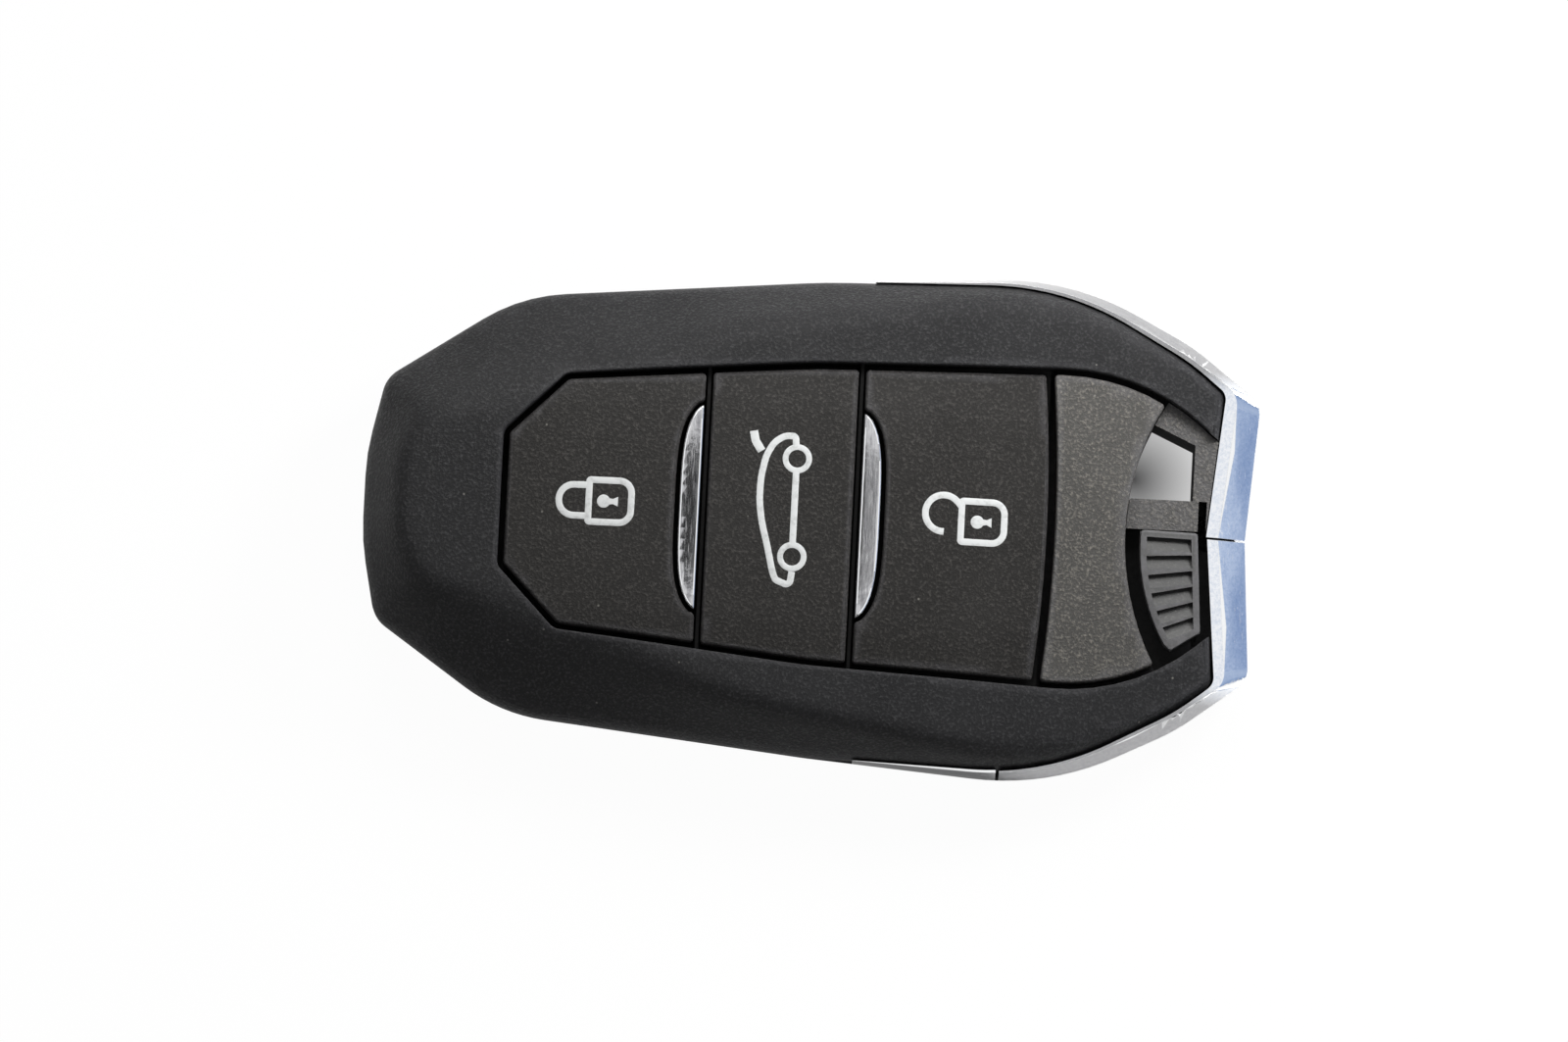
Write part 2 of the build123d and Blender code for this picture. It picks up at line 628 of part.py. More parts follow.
def sleeve_block():
    """Outside of the sleeve that guides the emergency blade."""
    half = BLADE_WIDTH / 2 + KEY_CLEARANCE + SLEEVE_WALL
    start = BLADE_TIP_X - KEY_CLEARANCE - SLEEVE_WALL
    end = HALF_LENGTH - HEAD_IN - KEY_CLEARANCE
    low = BLADE_Z - KEY_CLEARANCE - SLEEVE_FLOOR
    return block(start, end, BLADE_Y - half, BLADE_Y + half, low, PARTING_Z)


def blade_tunnel():
    """Flat tunnel that the emergency blade slides in."""
    half = BLADE_WIDTH / 2 + KEY_CLEARANCE
    end = HALF_LENGTH - HEAD_IN
    return block(BLADE_TIP_X - KEY_CLEARANCE, end, BLADE_Y - half, BLADE_Y + half,
                 BLADE_Z - KEY_CLEARANCE, BLADE_Z + BLADE_THICKNESS + KEY_CLEARANCE)


def contact_slot():
    """Slot in the cell ring and the plate that lets the side contact through."""
    inner = CELL_X + CELL_RADIUS
    half = CONTACT_WIDTH / 2 + SEAT_GAP
    return block(inner - CONTACT_THICKNESS, inner + CONTACT_THICKNESS + SEAT_GAP,
                 CELL_Y - half, CELL_Y + half, 0, REACH)


def tail_table():
    """Raised floor round the key ring window, with the deck and the release's pedestal."""
    table = right_panel_edge(SEAT_GAP, PLATE_TOP_Z, DECK_Z)
    table &= prism(SHELL_EDGE, BAND_CLEARANCE, PLATE_TOP_Z, DECK_Z)
    table &= prism(WINDOW, SEAT_GAP, PLATE_TOP_Z, DECK_Z)
    tube = ring_window(RING_WALL, RING_FOOT_Z, PLATE_TOP_Z)
    return table + (tube & prism(SHELL_EDGE, BAND_CLEARANCE, 0, DECK_Z))


def release_moat():
    """Deep gap that runs round the release's pedestal and on beside the deck."""
    moat = right_panel_edge(0, MOAT_Z, REACH) & prism(WINDOW, SEAT_GAP, MOAT_Z, REACH)
    moat &= block(0, REACH, -REACH, SLIDER_TOP_Y + SLIDER_END_GAP, MOAT_Z, REACH)
    moat -= extrude(Pos(0, 0, MOAT_Z) * slider_face(SLIDER_END_GAP), THICKNESS)
    return moat + block(SLIDER_EDGE_X, SLIDER_EDGE_X + SLIDER_SIDE_GAP, SLIDER_TOP_Y, RING_LOW_Y,
                        MOAT_Z, REACH)


def board_pegs():
    """Plan positions of the pegs that locate the circuit board."""
    nose, tail = -HALF_LENGTH + PEG_NOSE_IN, HALF_LENGTH - PEG_TAIL_IN
    return [(nose, PEG_NOSE_HALF), (nose, -PEG_NOSE_HALF), (tail, PEG_TAIL_HALF),
            (tail, -PEG_TAIL_HALF)]


# Ribbed release


def slider_face(shrink=0.0):
    """Plan of the ribbed release: bowed on the left, closed by a slanted foot."""
    edge, foot = SLIDER_EDGE_X, SLIDER_BOTTOM_Y
    top_left = (edge - SLIDER_TOP_WIDTH, SLIDER_TOP_Y)
    waist = (edge - SLIDER_WAIST_WIDTH, foot / 2)
    foot_left = (edge - SLIDER_FOOT_WIDTH, foot + SLIDER_FOOT_CUT)
    foot_right = (edge + SLIDER_FOOT_OUT, foot + SLIDER_FOOT_RISE)
    bow = ThreePointArc(top_left, waist, foot_left)
    rest = Polyline(foot_left, (edge - SLIDER_FOOT_TIP, foot), foot_right, (edge, SLIDER_TOP_Y),
                    top_left)
    face = make_face([bow, rest])
    return offset(face, -shrink) if shrink else face


def stem_place():
    """Plan position of the release's stem, at rest."""
    return SLIDER_EDGE_X - STEM_IN, SLIDER_BOTTOM_Y + STEM_RISE


def spring_place():
    """Plan position of the fixed end of the release's spring."""
    return SLIDER_EDGE_X - SPRING_IN, SLIDER_TOP_Y - SPRING_DOWN


def stem_slot():
    """Slot through plate and pedestal for the release's stem, with its travel."""
    x, y = stem_place()
    half = STEM_WIDTH / 2 + SEAT_GAP
    low = y - STEM_LENGTH / 2 - 2 * SEAT_GAP
    high = y + STEM_LENGTH / 2 + SLIDER_TRAVEL + 2 * SEAT_GAP
    return block(x - half, x + half, low, high, 0, REACH)


def spring_channel():
    """Open-topped channel in the pedestal for the return spring and the release's finger."""
    x, y = spring_place()
    half = SPRING_RADIUS + SPRING_WIRE / 2 + SEAT_GAP
    low = y - SPRING_LENGTH - SPRING_FINGER - 2 * SEAT_GAP
    return block(x - half, x + half, low, y, DECK_Z - 2 * half, REACH)


def release_slider():
    """Ribbed thumb slide that frees the emergency key."""
    under = DECK_Z + SEAT_GAP
    body = extrude(Pos(0, 0, under) * slider_face(), THICKNESS) & under_crown(SLIDER_SINK)
    body -= slider_ribs()
    x, y = stem_place()
    body += block(x - STEM_WIDTH / 2, x + STEM_WIDTH / 2, y - STEM_LENGTH / 2, y + STEM_LENGTH / 2,
                  HEAD_TOP_Z + 2 * SEAT_GAP, under)
    x, y = spring_place()
    y -= SPRING_LENGTH
    return body + block(x - SPRING_RADIUS, x + SPRING_RADIUS, y - SPRING_FINGER, y,
                        DECK_Z - 2 * SPRING_RADIUS, under)


def slider_ribs():
    """Saw-tooth cuts across the release, fanned so that they follow its taper."""
    field = extrude(Pos(0, 0, DECK_Z) * slider_face(SLIDER_RIB_FRAME), THICKNESS)
    room = SLIDER_TOP_Y - SLIDER_BOTTOM_Y - SLIDER_FOOT_RISE - SLIDER_RIB_FRAME
    pitch = room / SLIDER_RIBS
    cuts = Part()
    for i in range(SLIDER_RIBS):
        y = SLIDER_TOP_Y - SLIDER_RIB_FRAME - i * pitch
        far_y = y - pitch * SLIDER_RIB_SHARE
        top = crown_height(SLIDER_EDGE_X - SLIDER_TOP_WIDTH / 2, y, SLIDER_SINK)
        section = Polyline((y, top - SLIDER_RIB_DEPTH), (y, top + WALL), (far_y, top + WALL),
                           (far_y, top - SLIDER_RIB_CREST), close=True)
        cut = extrude(Plane.YZ * make_face(section), 2 * SLIDER_TOP_WIDTH, both=True)
        hinge = Axis((SLIDER_EDGE_X, y, 0), (0, 0, 1))
        turn = SLIDER_RIB_FAN * i / (SLIDER_RIBS - 1)
        cuts += (Pos(SLIDER_EDGE_X, 0, 0) * cut).rotate(hinge, turn)
    return cuts & field


def slider_spring():
    """Small compression spring that returns the release."""
    x, y = spring_place()
    z = DECK_Z - SPRING_RADIUS - SPRING_WIRE / 2 - SEAT_GAP / 2
    height = SPRING_LENGTH - SPRING_WIRE - SEAT_GAP
    path = Helix(height / SPRING_TURNS, height, SPRING_RADIUS)
    wire = Plane(path @ 0, z_dir=path % 0) * Circle(SPRING_WIRE / 2)
    coil = sweep(wire, path=path, is_frenet=True)
    return Pos(x, y - SPRING_WIRE / 2 - SEAT_GAP / 2, z) * (Rot(90, 0, 0) * coil)


# Emergency key


def rivet_place():
    """Plan position of the rivet that holds the blade in the head."""
    return HALF_LENGTH - RIVET_IN, BLADE_Y


def blade_bar(start, end):
    """Plain bar of the blade's section between two stations."""
    half = BLADE_WIDTH / 2
    return block(start, end, BLADE_Y - half, BLADE_Y + half, BLADE_Z, BLADE_Z + BLADE_THICKNESS)


def key_blade():
    """Steel emergency blade with a milled groove on each face and a chamfered tip."""
    blade = blade_bar(BLADE_TIP_X, BLADE_ROOT_X)
    blade = chamfer(blade.edges().filter_by(Axis.Z).group_by(Axis.X)[0], BLADE_TIP_CHAMFER)
    half = BLADE_GROOVE_WIDTH / 2
    stop = HALF_LENGTH - HEAD_IN - BLADE_GROOVE_STOP
    for z in (BLADE_Z, BLADE_Z + BLADE_THICKNESS):
        blade -= block(BLADE_TIP_X - 1, stop, BLADE_Y - half, BLADE_Y + half,
                       z - BLADE_GROOVE_DEPTH, z + BLADE_GROOVE_DEPTH)
    return blade - column(*rivet_place(), RIVET_RADIUS, 0, REACH)


def key_head():
    """Plastic head of the emergency key, moulded round the blade's root."""
    side_y = BLADE_Y - BLADE_WIDTH / 2 - HEAD_SIDE
    head = block(HALF_LENGTH - HEAD_IN, REACH, side_y, HEAD_PLUS_Y, HEAD_Z, HEAD_TOP_Z)
    head &= prism(SHELL_EDGE, -KEY_CLEARANCE, 0, REACH)
    x, y = stem_place()
    pocket = block(x - STEM_WIDTH, x + STEM_WIDTH, y - STEM_LENGTH, y + STEM_LENGTH,
                   HEAD_TOP_Z - CATCH_DEPTH, REACH)
    head -= blade_bar(0, BLADE_ROOT_X) + pocket
    return head - column(*rivet_place(), RIVET_RADIUS, 0, REACH)


def head_rivet():
    """Rivet through the head and the blade's root."""
    return column(*rivet_place(), RIVET_RADIUS, HEAD_Z, HEAD_TOP_Z)


# Buttons, strips and the keypad under them


def strip_face(grow=0.0):
    """Plan of a bright strip: straight on the boot button's side, bowed on the other."""
    half = STRIP_HALF_LENGTH + grow
    width = STRIP_WIDTH + grow
    tip = (-width + STRIP_TIP_NARROWING, half - STRIP_TIP_LENGTH)
    taper = (-width, half - STRIP_TAPER_LENGTH)
    bow = FilletPolyline((0, half), tip, taper, (taper[0], -taper[1]), (tip[0], -tip[1]), (0, -half),
                         radius=[STRIP_TIP_ROUND, STRIP_BOW_ROUND, STRIP_BOW_ROUND, STRIP_TIP_ROUND])
    return make_face([bow, Line((0, -half), (0, half))])


def strip_block(side, grow, low, high):
    """Block of a strip's plan, left (side -1) or right (side 1) of the boot button."""
    centre = SEPARATOR_LEFT_X if side < 0 else SEPARATOR_RIGHT_X
    face = strip_face(grow) if side < 0 else mirror(strip_face(grow), about=Plane.YZ)
    return Pos(centre + side * STRIP_STAND_OFF, 0, low) * extrude(face, high - low)


def trim_strip(side):
    """Bright strip standing on the mat beside its separator wall, its top edges bevelled."""
    strip = strip_block(side, 0, MAT_TOP_Z, THICKNESS) & under_crown(STRIP_SINK)
    return chamfer(strip.faces().sort_by(Axis.Z)[-1].edges(), STRIP_BEVEL)


def left_trim_strip():
    """Strip beside the lock button."""
    return trim_strip(-1)


def right_trim_strip():
    """Strip beside the unlock button."""
    return trim_strip(1)


def cap(low_x, high_x, cuts):
    """Hollow button cap between two stations, less what passes beside it."""
    outside = prism(WINDOW, BUTTON_GAP, SKIRT_Z, THICKNESS) & between_x(low_x, high_x)
    for cut in cuts:
        outside -= cut
    inside = prism(WINDOW, BUTTON_GAP + BUTTON_SKIN, 0, THICKNESS)
    inside &= between_x(low_x + BUTTON_SKIN, high_x - BUTTON_SKIN)
    inside &= under_caps(BUTTON_SINK + BUTTON_SKIN)
    return (outside & under_caps(BUTTON_SINK)) - inside


def strip_skin(side):
    """Wall of a button cap round the notch for its strip."""
    wall = strip_block(side, STRIP_GAP + BUTTON_SKIN, SKIRT_Z, THICKNESS)
    return wall - strip_block(side, STRIP_GAP, 0, THICKNESS)


def plunger(x):
    """Post under a button that reaches down to the rubber mat."""
    return column(x, 0, PLUNGER_RADIUS, PLUNGER_Z, THICKNESS) & under_caps(BUTTON_SINK)


def lock_button():
    """Button nearest the nose."""
    high = SEPARATOR_LEFT_X - SEPARATOR_GAP / 2
    button = cap(-HALF_LENGTH, high, [strip_block(-1, STRIP_GAP, 0, THICKNESS)])
    button += strip_skin(-1) & under_caps(BUTTON_SINK) & between_x(-HALF_LENGTH, high)
    return button + plunger(LOCK_BUTTON_X)


def boot_button():
    """Middle button."""
    low = SEPARATOR_LEFT_X + SEPARATOR_GAP / 2
    high = SEPARATOR_RIGHT_X - SEPARATOR_GAP / 2
    return cap(low, high, []) + plunger(BOOT_BUTTON_CENTRE_X)


def unlock_button():
    """Button beside the tail panel."""
    low = SEPARATOR_RIGHT_X + SEPARATOR_GAP / 2
    panel = left_panel_edge(-PANEL_GAP, 0, THICKNESS)
    button = cap(low, REACH, [strip_block(1, STRIP_GAP, 0, THICKNESS), panel])
    end = left_panel_edge(-PANEL_GAP - BUTTON_SKIN, SKIRT_Z, THICKNESS) - panel
    end &= prism(WINDOW, BUTTON_GAP, SKIRT_Z, THICKNESS)
    button += (strip_skin(1) + end) & under_caps(BUTTON_SINK) & between_x(low, REACH)
    return button + plunger(UNLOCK_BUTTON_X)


def keypad_frame():
    """Rim under the shell round the buttons, with a wall in each gap between them."""
    under_shell = WALL + SEAT_GAP
    rim = prism(WINDOW, -RIM_WIDTH, MAT_TOP_Z, THICKNESS) - prism(WINDOW, 0, 0, REACH)
    rim &= between_x(-HALF_LENGTH, PANEL_LEFT_X - PANEL_LEFT_BOW - RIM_END_IN)
    frame = rim & dome(under_shell, under_shell)
    walls = prism(WINDOW, -SEPARATOR_TUCK, MAT_TOP_Z, THICKNESS) & under_crown(under_shell)
    for x in (SEPARATOR_LEFT_X, SEPARATOR_RIGHT_X):
        frame += walls & between_x(x - SEPARATOR_WALL / 2, x + SEPARATOR_WALL / 2)
    return frame


def keypad_mat():
    """Rubber mat that seals the buttons and carries a pip under each."""
    mat = prism(WINDOW, -MAT_TUCK, MAT_Z, MAT_TOP_Z) & between_x(-REACH, PANEL_LEFT_X - MAT_END_IN)
    mat &= under_crown(WALL + SEAT_GAP)
    for x in button_stations():
        mat += column(x, 0, PIP_RADIUS, MAT_TOP_Z, PIP_TOP_Z)
    return mat


def button_stations():
    """Where each button is pressed, along the length."""
    return [LOCK_BUTTON_X, BOOT_BUTTON_CENTRE_X, UNLOCK_BUTTON_X]


# Circuit board and what it carries


def circuit_board():
    """Glass-fibre board shaped to the casing."""
    board = prism(SHELL_EDGE, WALL + BOARD_INSET, BOARD_Z, BOARD_TOP_Z)
    board &= between_x(-REACH, HALF_LENGTH - BOARD_END_IN)
    for x, y in board_pegs():
        board -= column(x, y, PEG_RADIUS + PEG_CLEARANCE, 0, REACH)
    return board


def on_board(x, y, size):
    """Component block of a (length, width, height) standing on the board."""
    length, width, height = size
    return block(x - length / 2, x + length / 2, y - width / 2, y + width / 2,
                 BOARD_TOP_Z, BOARD_TOP_Z + height)


def tactile_switches():
    """Three low push switches under the buttons."""
    body = (SWITCH_SIZE, SWITCH_SIZE, SWITCH_HEIGHT - SWITCH_STEM_HEIGHT)
    top = BOARD_TOP_Z + SWITCH_HEIGHT
    return Compound(children=[
        on_board(x, 0, body) + column(x, 0, SWITCH_STEM_RADIUS, BOARD_TOP_Z, top)
        for x in button_stations()])


def chip_components():
    """Small resistors and capacitors in two rows."""
    start = -HALF_LENGTH + CHIP_ROW_IN
    return Compound(children=[
        on_board(start + CHIP_ROW_PITCH * i, y, CHIP_PART)
        for i in range(CHIP_PARTS_IN_ROW) for y in (-CHIP_ROW_HALF, CHIP_ROW_HALF)])


def controller_chip():
    """Controller that runs the key."""
    return on_board(-HALF_LENGTH + CONTROLLER_IN, CONTROLLER_Y, CONTROLLER)


def radio_chip():
    """Radio transmitter."""
    return on_board(HALF_LENGTH - RADIO_IN, RADIO_Y, RADIO)


def crystal():
    """Quartz crystal beside the radio."""
    return on_board(HALF_LENGTH - RADIO_IN + RADIO_TO_CRYSTAL, RADIO_Y, CRYSTAL)


def wake_coil():
    """Three-axis receiver coil in its ferrite block, in the nose."""
    x = -HALF_LENGTH + COIL_IN
    winding = (COIL_LENGTH + 2 * WINDING_PROUD, WINDING_WIDTH, COIL_HEIGHT - WINDING_DROP)
    return on_board(x, 0, (COIL_LENGTH, COIL_WIDTH, COIL_HEIGHT)) + on_board(x, 0, winding)


def loop_antenna():
    """Stamped radio aerial that follows the board's nose edge."""
    outer = WALL + BOARD_INSET + ANTENNA_INSET
    ring = prism(SHELL_EDGE, outer, BOARD_TOP_Z, BOARD_TOP_Z + ANTENNA_HEIGHT)
    ring -= prism(SHELL_EDGE, outer + ANTENNA_WIDTH, 0, REACH)
    return ring & between_x(-REACH, -HALF_LENGTH + ANTENNA_LENGTH)


def battery():
    """Coin cell: can with a smaller insulated cap on the board side."""
    cap_z = CELL_Z + CELL_THICKNESS - CELL_CAP_HEIGHT
    can = column(CELL_X, CELL_Y, CELL_RADIUS, CELL_Z, cap_z)
    can = fillet(can.edges().group_by(Axis.Z)[0], CELL_EDGE_ROUND)
    return can + column(CELL_X, CELL_Y, CELL_RADIUS - CELL_CAP_INSET, cap_z, CELL_Z + CELL_THICKNESS)


def battery_contact_negative():
    """Sprung strip from the board down to the cap of the cell."""
    low = CELL_Z + CELL_THICKNESS
    back = CELL_X - CONTACT_BACK
    half = CONTACT_WIDTH / 2
    foot = block(back, CELL_X + CONTACT_FRONT, CELL_Y - half, CELL_Y + half, low,
                 low + CONTACT_THICKNESS)
    return foot + block(back, back + CONTACT_THICKNESS, CELL_Y - half, CELL_Y + half, low, BOARD_Z)


def battery_contact_positive():
    """Clip from the board down the side of the cell's can."""
    inner = CELL_X + CELL_RADIUS
    half = CONTACT_WIDTH / 2
    return block(inner, inner + CONTACT_THICKNESS, CELL_Y - half, CELL_Y + half,
                 CELL_Z + CONTACT_GRIP_Z, BOARD_Z)


PIECES = [
    rear_cover, inner_frame, front_shell, chrome_band, lower_side_trim, tail_panel, keypad_frame,
    keypad_mat, lock_button, boot_button, unlock_button, left_trim_strip, right_trim_strip,
    release_slider, slider_spring, key_blade, key_head, key_head_trim, head_rivet, circuit_board,
    tactile_switches, chip_components, controller_chip, radio_chip, crystal, wake_coil,
    loop_antenna, battery, battery_contact_negative, battery_contact_positive,
]

os.makedirs("parts", exist_ok=True)
for piece in PIECES:
    export_step(piece(), f"parts/{piece.__name__}.step")
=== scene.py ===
"""Looks of a proximity car key, modelled round its packed construction model."""

import logging
import math
from contextlib import contextmanager
from dataclasses import dataclass
from enum import Enum
from typing import Callable, Iterator, Sequence

import bmesh
import bpy
import numpy as np
from mathutils import Matrix, Vector


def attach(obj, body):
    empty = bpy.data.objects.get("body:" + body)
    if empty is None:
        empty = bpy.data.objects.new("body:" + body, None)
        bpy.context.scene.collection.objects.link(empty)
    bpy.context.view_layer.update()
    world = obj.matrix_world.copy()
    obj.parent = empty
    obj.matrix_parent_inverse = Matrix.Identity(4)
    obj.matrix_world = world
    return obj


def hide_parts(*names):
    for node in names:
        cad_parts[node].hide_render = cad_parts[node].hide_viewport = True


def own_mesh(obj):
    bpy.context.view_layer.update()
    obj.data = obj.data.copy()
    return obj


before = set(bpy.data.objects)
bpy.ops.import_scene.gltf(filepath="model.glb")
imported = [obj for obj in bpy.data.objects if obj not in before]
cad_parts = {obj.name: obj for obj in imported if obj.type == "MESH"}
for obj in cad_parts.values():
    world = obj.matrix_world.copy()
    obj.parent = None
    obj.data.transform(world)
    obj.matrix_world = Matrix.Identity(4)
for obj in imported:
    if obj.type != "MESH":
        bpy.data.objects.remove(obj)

LOG = logging.getLogger("car_key")
# One millimetre in metres, and a length in millimetres that reaches right past the key
MM = 0.001
REACH = 200.0
# Tolerances in millimetres: points at one height, points on a cutting plane, points merged
LEVEL_TOLERANCE = 1e-3
PLANE_TOLERANCE = 1e-5
MERGE_DISTANCE = 1e-3
# Length in millimetres that keeps a division by a tiny edge from failing
TINY = 1e-6
# Smallest turn of a path, in radians, that is a corner
LEAST_TURN = 1e-4
# Smallest rounding that is left when an outline moves in, in millimetres
LEAST_ROUND = 0.2
# Least upright share of a normal that makes a face flat
FLAT_NORMAL = 0.9
# How many points are measured against an outline at a time
BATCH = 4000
# Sockets of a Mix node that mixes colours: its share, its two colours and its result
SHARE, FIRST, SECOND, MIXED = 0, 6, 7, 2

Corner = tuple[float, float, float]
Point = tuple[float, float]
Surface = Callable[[np.ndarray], np.ndarray]
EdgeTest = Callable[[bmesh.types.BMEdge], bool]


class Body(Enum):
    """Bodies of the construction model that the pieces ride on."""

    BACK = "back_shell"
    FOB = "fob"
    LOCK = "lock"
    BOOT = "boot"
    UNLOCK = "unlock"
    RELEASE = "release"
    KEY = "emergency_key"


class Side(Enum):
    """Which side of the boot button a strip stands on."""

    LEFT = -1
    RIGHT = 1


# Outlines


def headings(points: Sequence[Sequence[float]], i: int) -> tuple[Vector, Vector]:
    """Directions in which a closed outline arrives at one of its points and leaves it.

    Args:
        points: Points of the outline, each starting with x and y.
        i: Number of the point.

    Returns:
        Two unit vectors, arriving and leaving.
    """
    before, here, after = points[i - 1], points[i], points[(i + 1) % len(points)]
    arriving = Vector((here[0] - before[0], here[1] - before[1])).normalized()
    leaving = Vector((after[0] - here[0], after[1] - here[1])).normalized()
    return arriving, leaving


def moved_in(corners: Sequence[Corner], distance: float) -> list[Corner]:
    """Moves every side of an anticlockwise outline in, with concentric roundings.

    Args:
        corners: Corners of the closed outline as (x, y, rounding), in millimetres.
        distance: How far each side moves in.

    Returns:
        The corners of the smaller outline.
    """
    result = []
    for i, (x, y, rounding) in enumerate(corners):
        arriving, leaving = headings(corners, i)
        mitre = distance / (1 + arriving.dot(leaving))
        convex = arriving.x * leaving.y - arriving.y * leaving.x > 0
        if rounding > 0:
            rounding = max(rounding - distance, LEAST_ROUND) if convex else rounding + distance
        result.append((x - mitre * (arriving.y + leaving.y),
                       y + mitre * (arriving.x + leaving.x), rounding))
    return result


def mirrored(half: Sequence[Corner]) -> list[Corner]:
    """All corners of a symmetric outline, anticlockwise, from those of its +Y half."""
    return [(x, -y, r) for x, y, r in half] + [c for c in reversed(half) if c[1] > 0]


def sampled(corners: Sequence[Corner], closed: bool = True, step: float = 0.0,
            turn: float = 7.0) -> list[Point]:
    """Points along an outline whose corners are rounded by arcs.

    Args:
        corners: Corners as (x, y, rounding), in millimetres.
        closed: Whether the last corner joins the first.
        step: Longest straight piece between two points, or 0 for no limit.
        turn: Largest turn between two points of an arc, in degrees.

    Returns:
        The points, in the order of the corners.
    """
    points: list[Point] = []
    last = len(corners) - 1
    for i, (*place, rounding) in enumerate(corners):
        corner = Vector(place)
        if not closed and i in (0, last):
            points.append(tuple(corner))
            continue
        arriving = (corner - Vector(corners[i - 1][:2])).normalized()
        leaving = (Vector(corners[(i + 1) % len(corners)][:2]) - corner).normalized()
        angle = math.atan2(arriving.x * leaving.y - arriving.y * leaving.x, arriving.dot(leaving))
        if rounding <= 0 or abs(angle) < LEAST_TURN:
            points.append(tuple(corner))
            continue
        start = corner - arriving * rounding * math.tan(abs(angle) / 2)
        centre = start + Vector((-arriving.y, arriving.x)) * math.copysign(rounding, angle)
        count = max(2, math.ceil(math.degrees(abs(angle)) / turn))
        for k in range(count + 1):
            arm = start - centre
            arm.rotate(Matrix.Rotation(angle * k / count, 2))
            points.append(tuple(centre + arm))
    return stepped(points, closed, step) if step else points


def stepped(points: Sequence[Point], closed: bool, step: float) -> list[Point]:
    """Divides the straight pieces of a path so that none is longer than step.

    Args:
        points: Points of the path.
        closed: Whether the last point joins the first.
        step: Longest piece that is left, in millimetres.

    Returns:
        The old points with the new ones between them.
    """
    result: list[Point] = []
    ends = list(points[1:]) + ([points[0]] if closed else [])
    for (x1, y1), (x2, y2) in zip(points, ends):
        count = max(1, math.ceil(math.dist((x1, y1), (x2, y2)) / step))
        result += [(x1 + (x2 - x1) * k / count, y1 + (y2 - y1) * k / count)
                   for k in range(count)]
    return result if closed else result + [points[-1]]


def bow(start: Point, middle: Point, end: Point, count: int = 16) -> list[Point]:
    """Points of the arc through three points.

    Args:
        start: First point of the arc.
        middle: A point on its way.
        end: Last point of the arc.
        count: Number of equal pieces that it is divided into.

    Returns:
        The points, one more than the pieces.
    """
    first, second, third = (complex(*point) for point in (start, middle, end))
    ratio = (third - first) / (second - first)
    centre = (second - first) * (ratio - abs(ratio) ** 2) / (2j * ratio.imag) + first
    arm = first - centre
    angle = np.angle((third - centre) / arm)
    if angle * np.angle((second - centre) / arm) < 0:
        angle -= math.copysign(2 * math.pi, angle)
    arc = [centre + arm * np.exp(1j * angle * k / count) for k in range(count + 1)]
    return [(point.real, point.imag) for point in arc]


def depth_in(outline: Sequence[Point], at: np.ndarray) -> np.ndarray:
    """Distance from points to a closed outline, positive inside it.

    Args:
        outline: Points of the closed outline.
        at: Array of points, one row each.

    Returns:
        One signed distance for each point.
    """
    start = np.array(outline, float)
    end = np.roll(start, -1, axis=0)
    run = end - start
    length = (run ** 2).sum(1)
    rise = np.where(run[:, 1] == 0, 1, run[:, 1])
    result = np.empty(len(at))
    for low in range(0, len(at), BATCH):
        here = at[low:low + BATCH, None, :]
        share = np.clip(((here - start) * run).sum(2) / length, 0, 1)
        near = np.linalg.norm(start + share[..., None] * run - here, axis=2).min(1)
        x, y = here[..., 0], here[..., 1]
        spans = (start[:, 1] > y) != (end[:, 1] > y)
        crosses = spans & (x < start[:, 0] + (y - start[:, 1]) * run[:, 0] / rise)
        inside = crosses.sum(1) % 2 == 1
        result[low:low + BATCH] = np.where(inside, near, -near)
    return result


def soft_min(first: np.ndarray, second: np.ndarray, width: float) -> np.ndarray:
    """The lower of two heights, with the crease between them rounded over width."""
    near = np.maximum(width - np.abs(first - second), 0)
    return np.minimum(first, second) - near ** 2 / (4 * width)


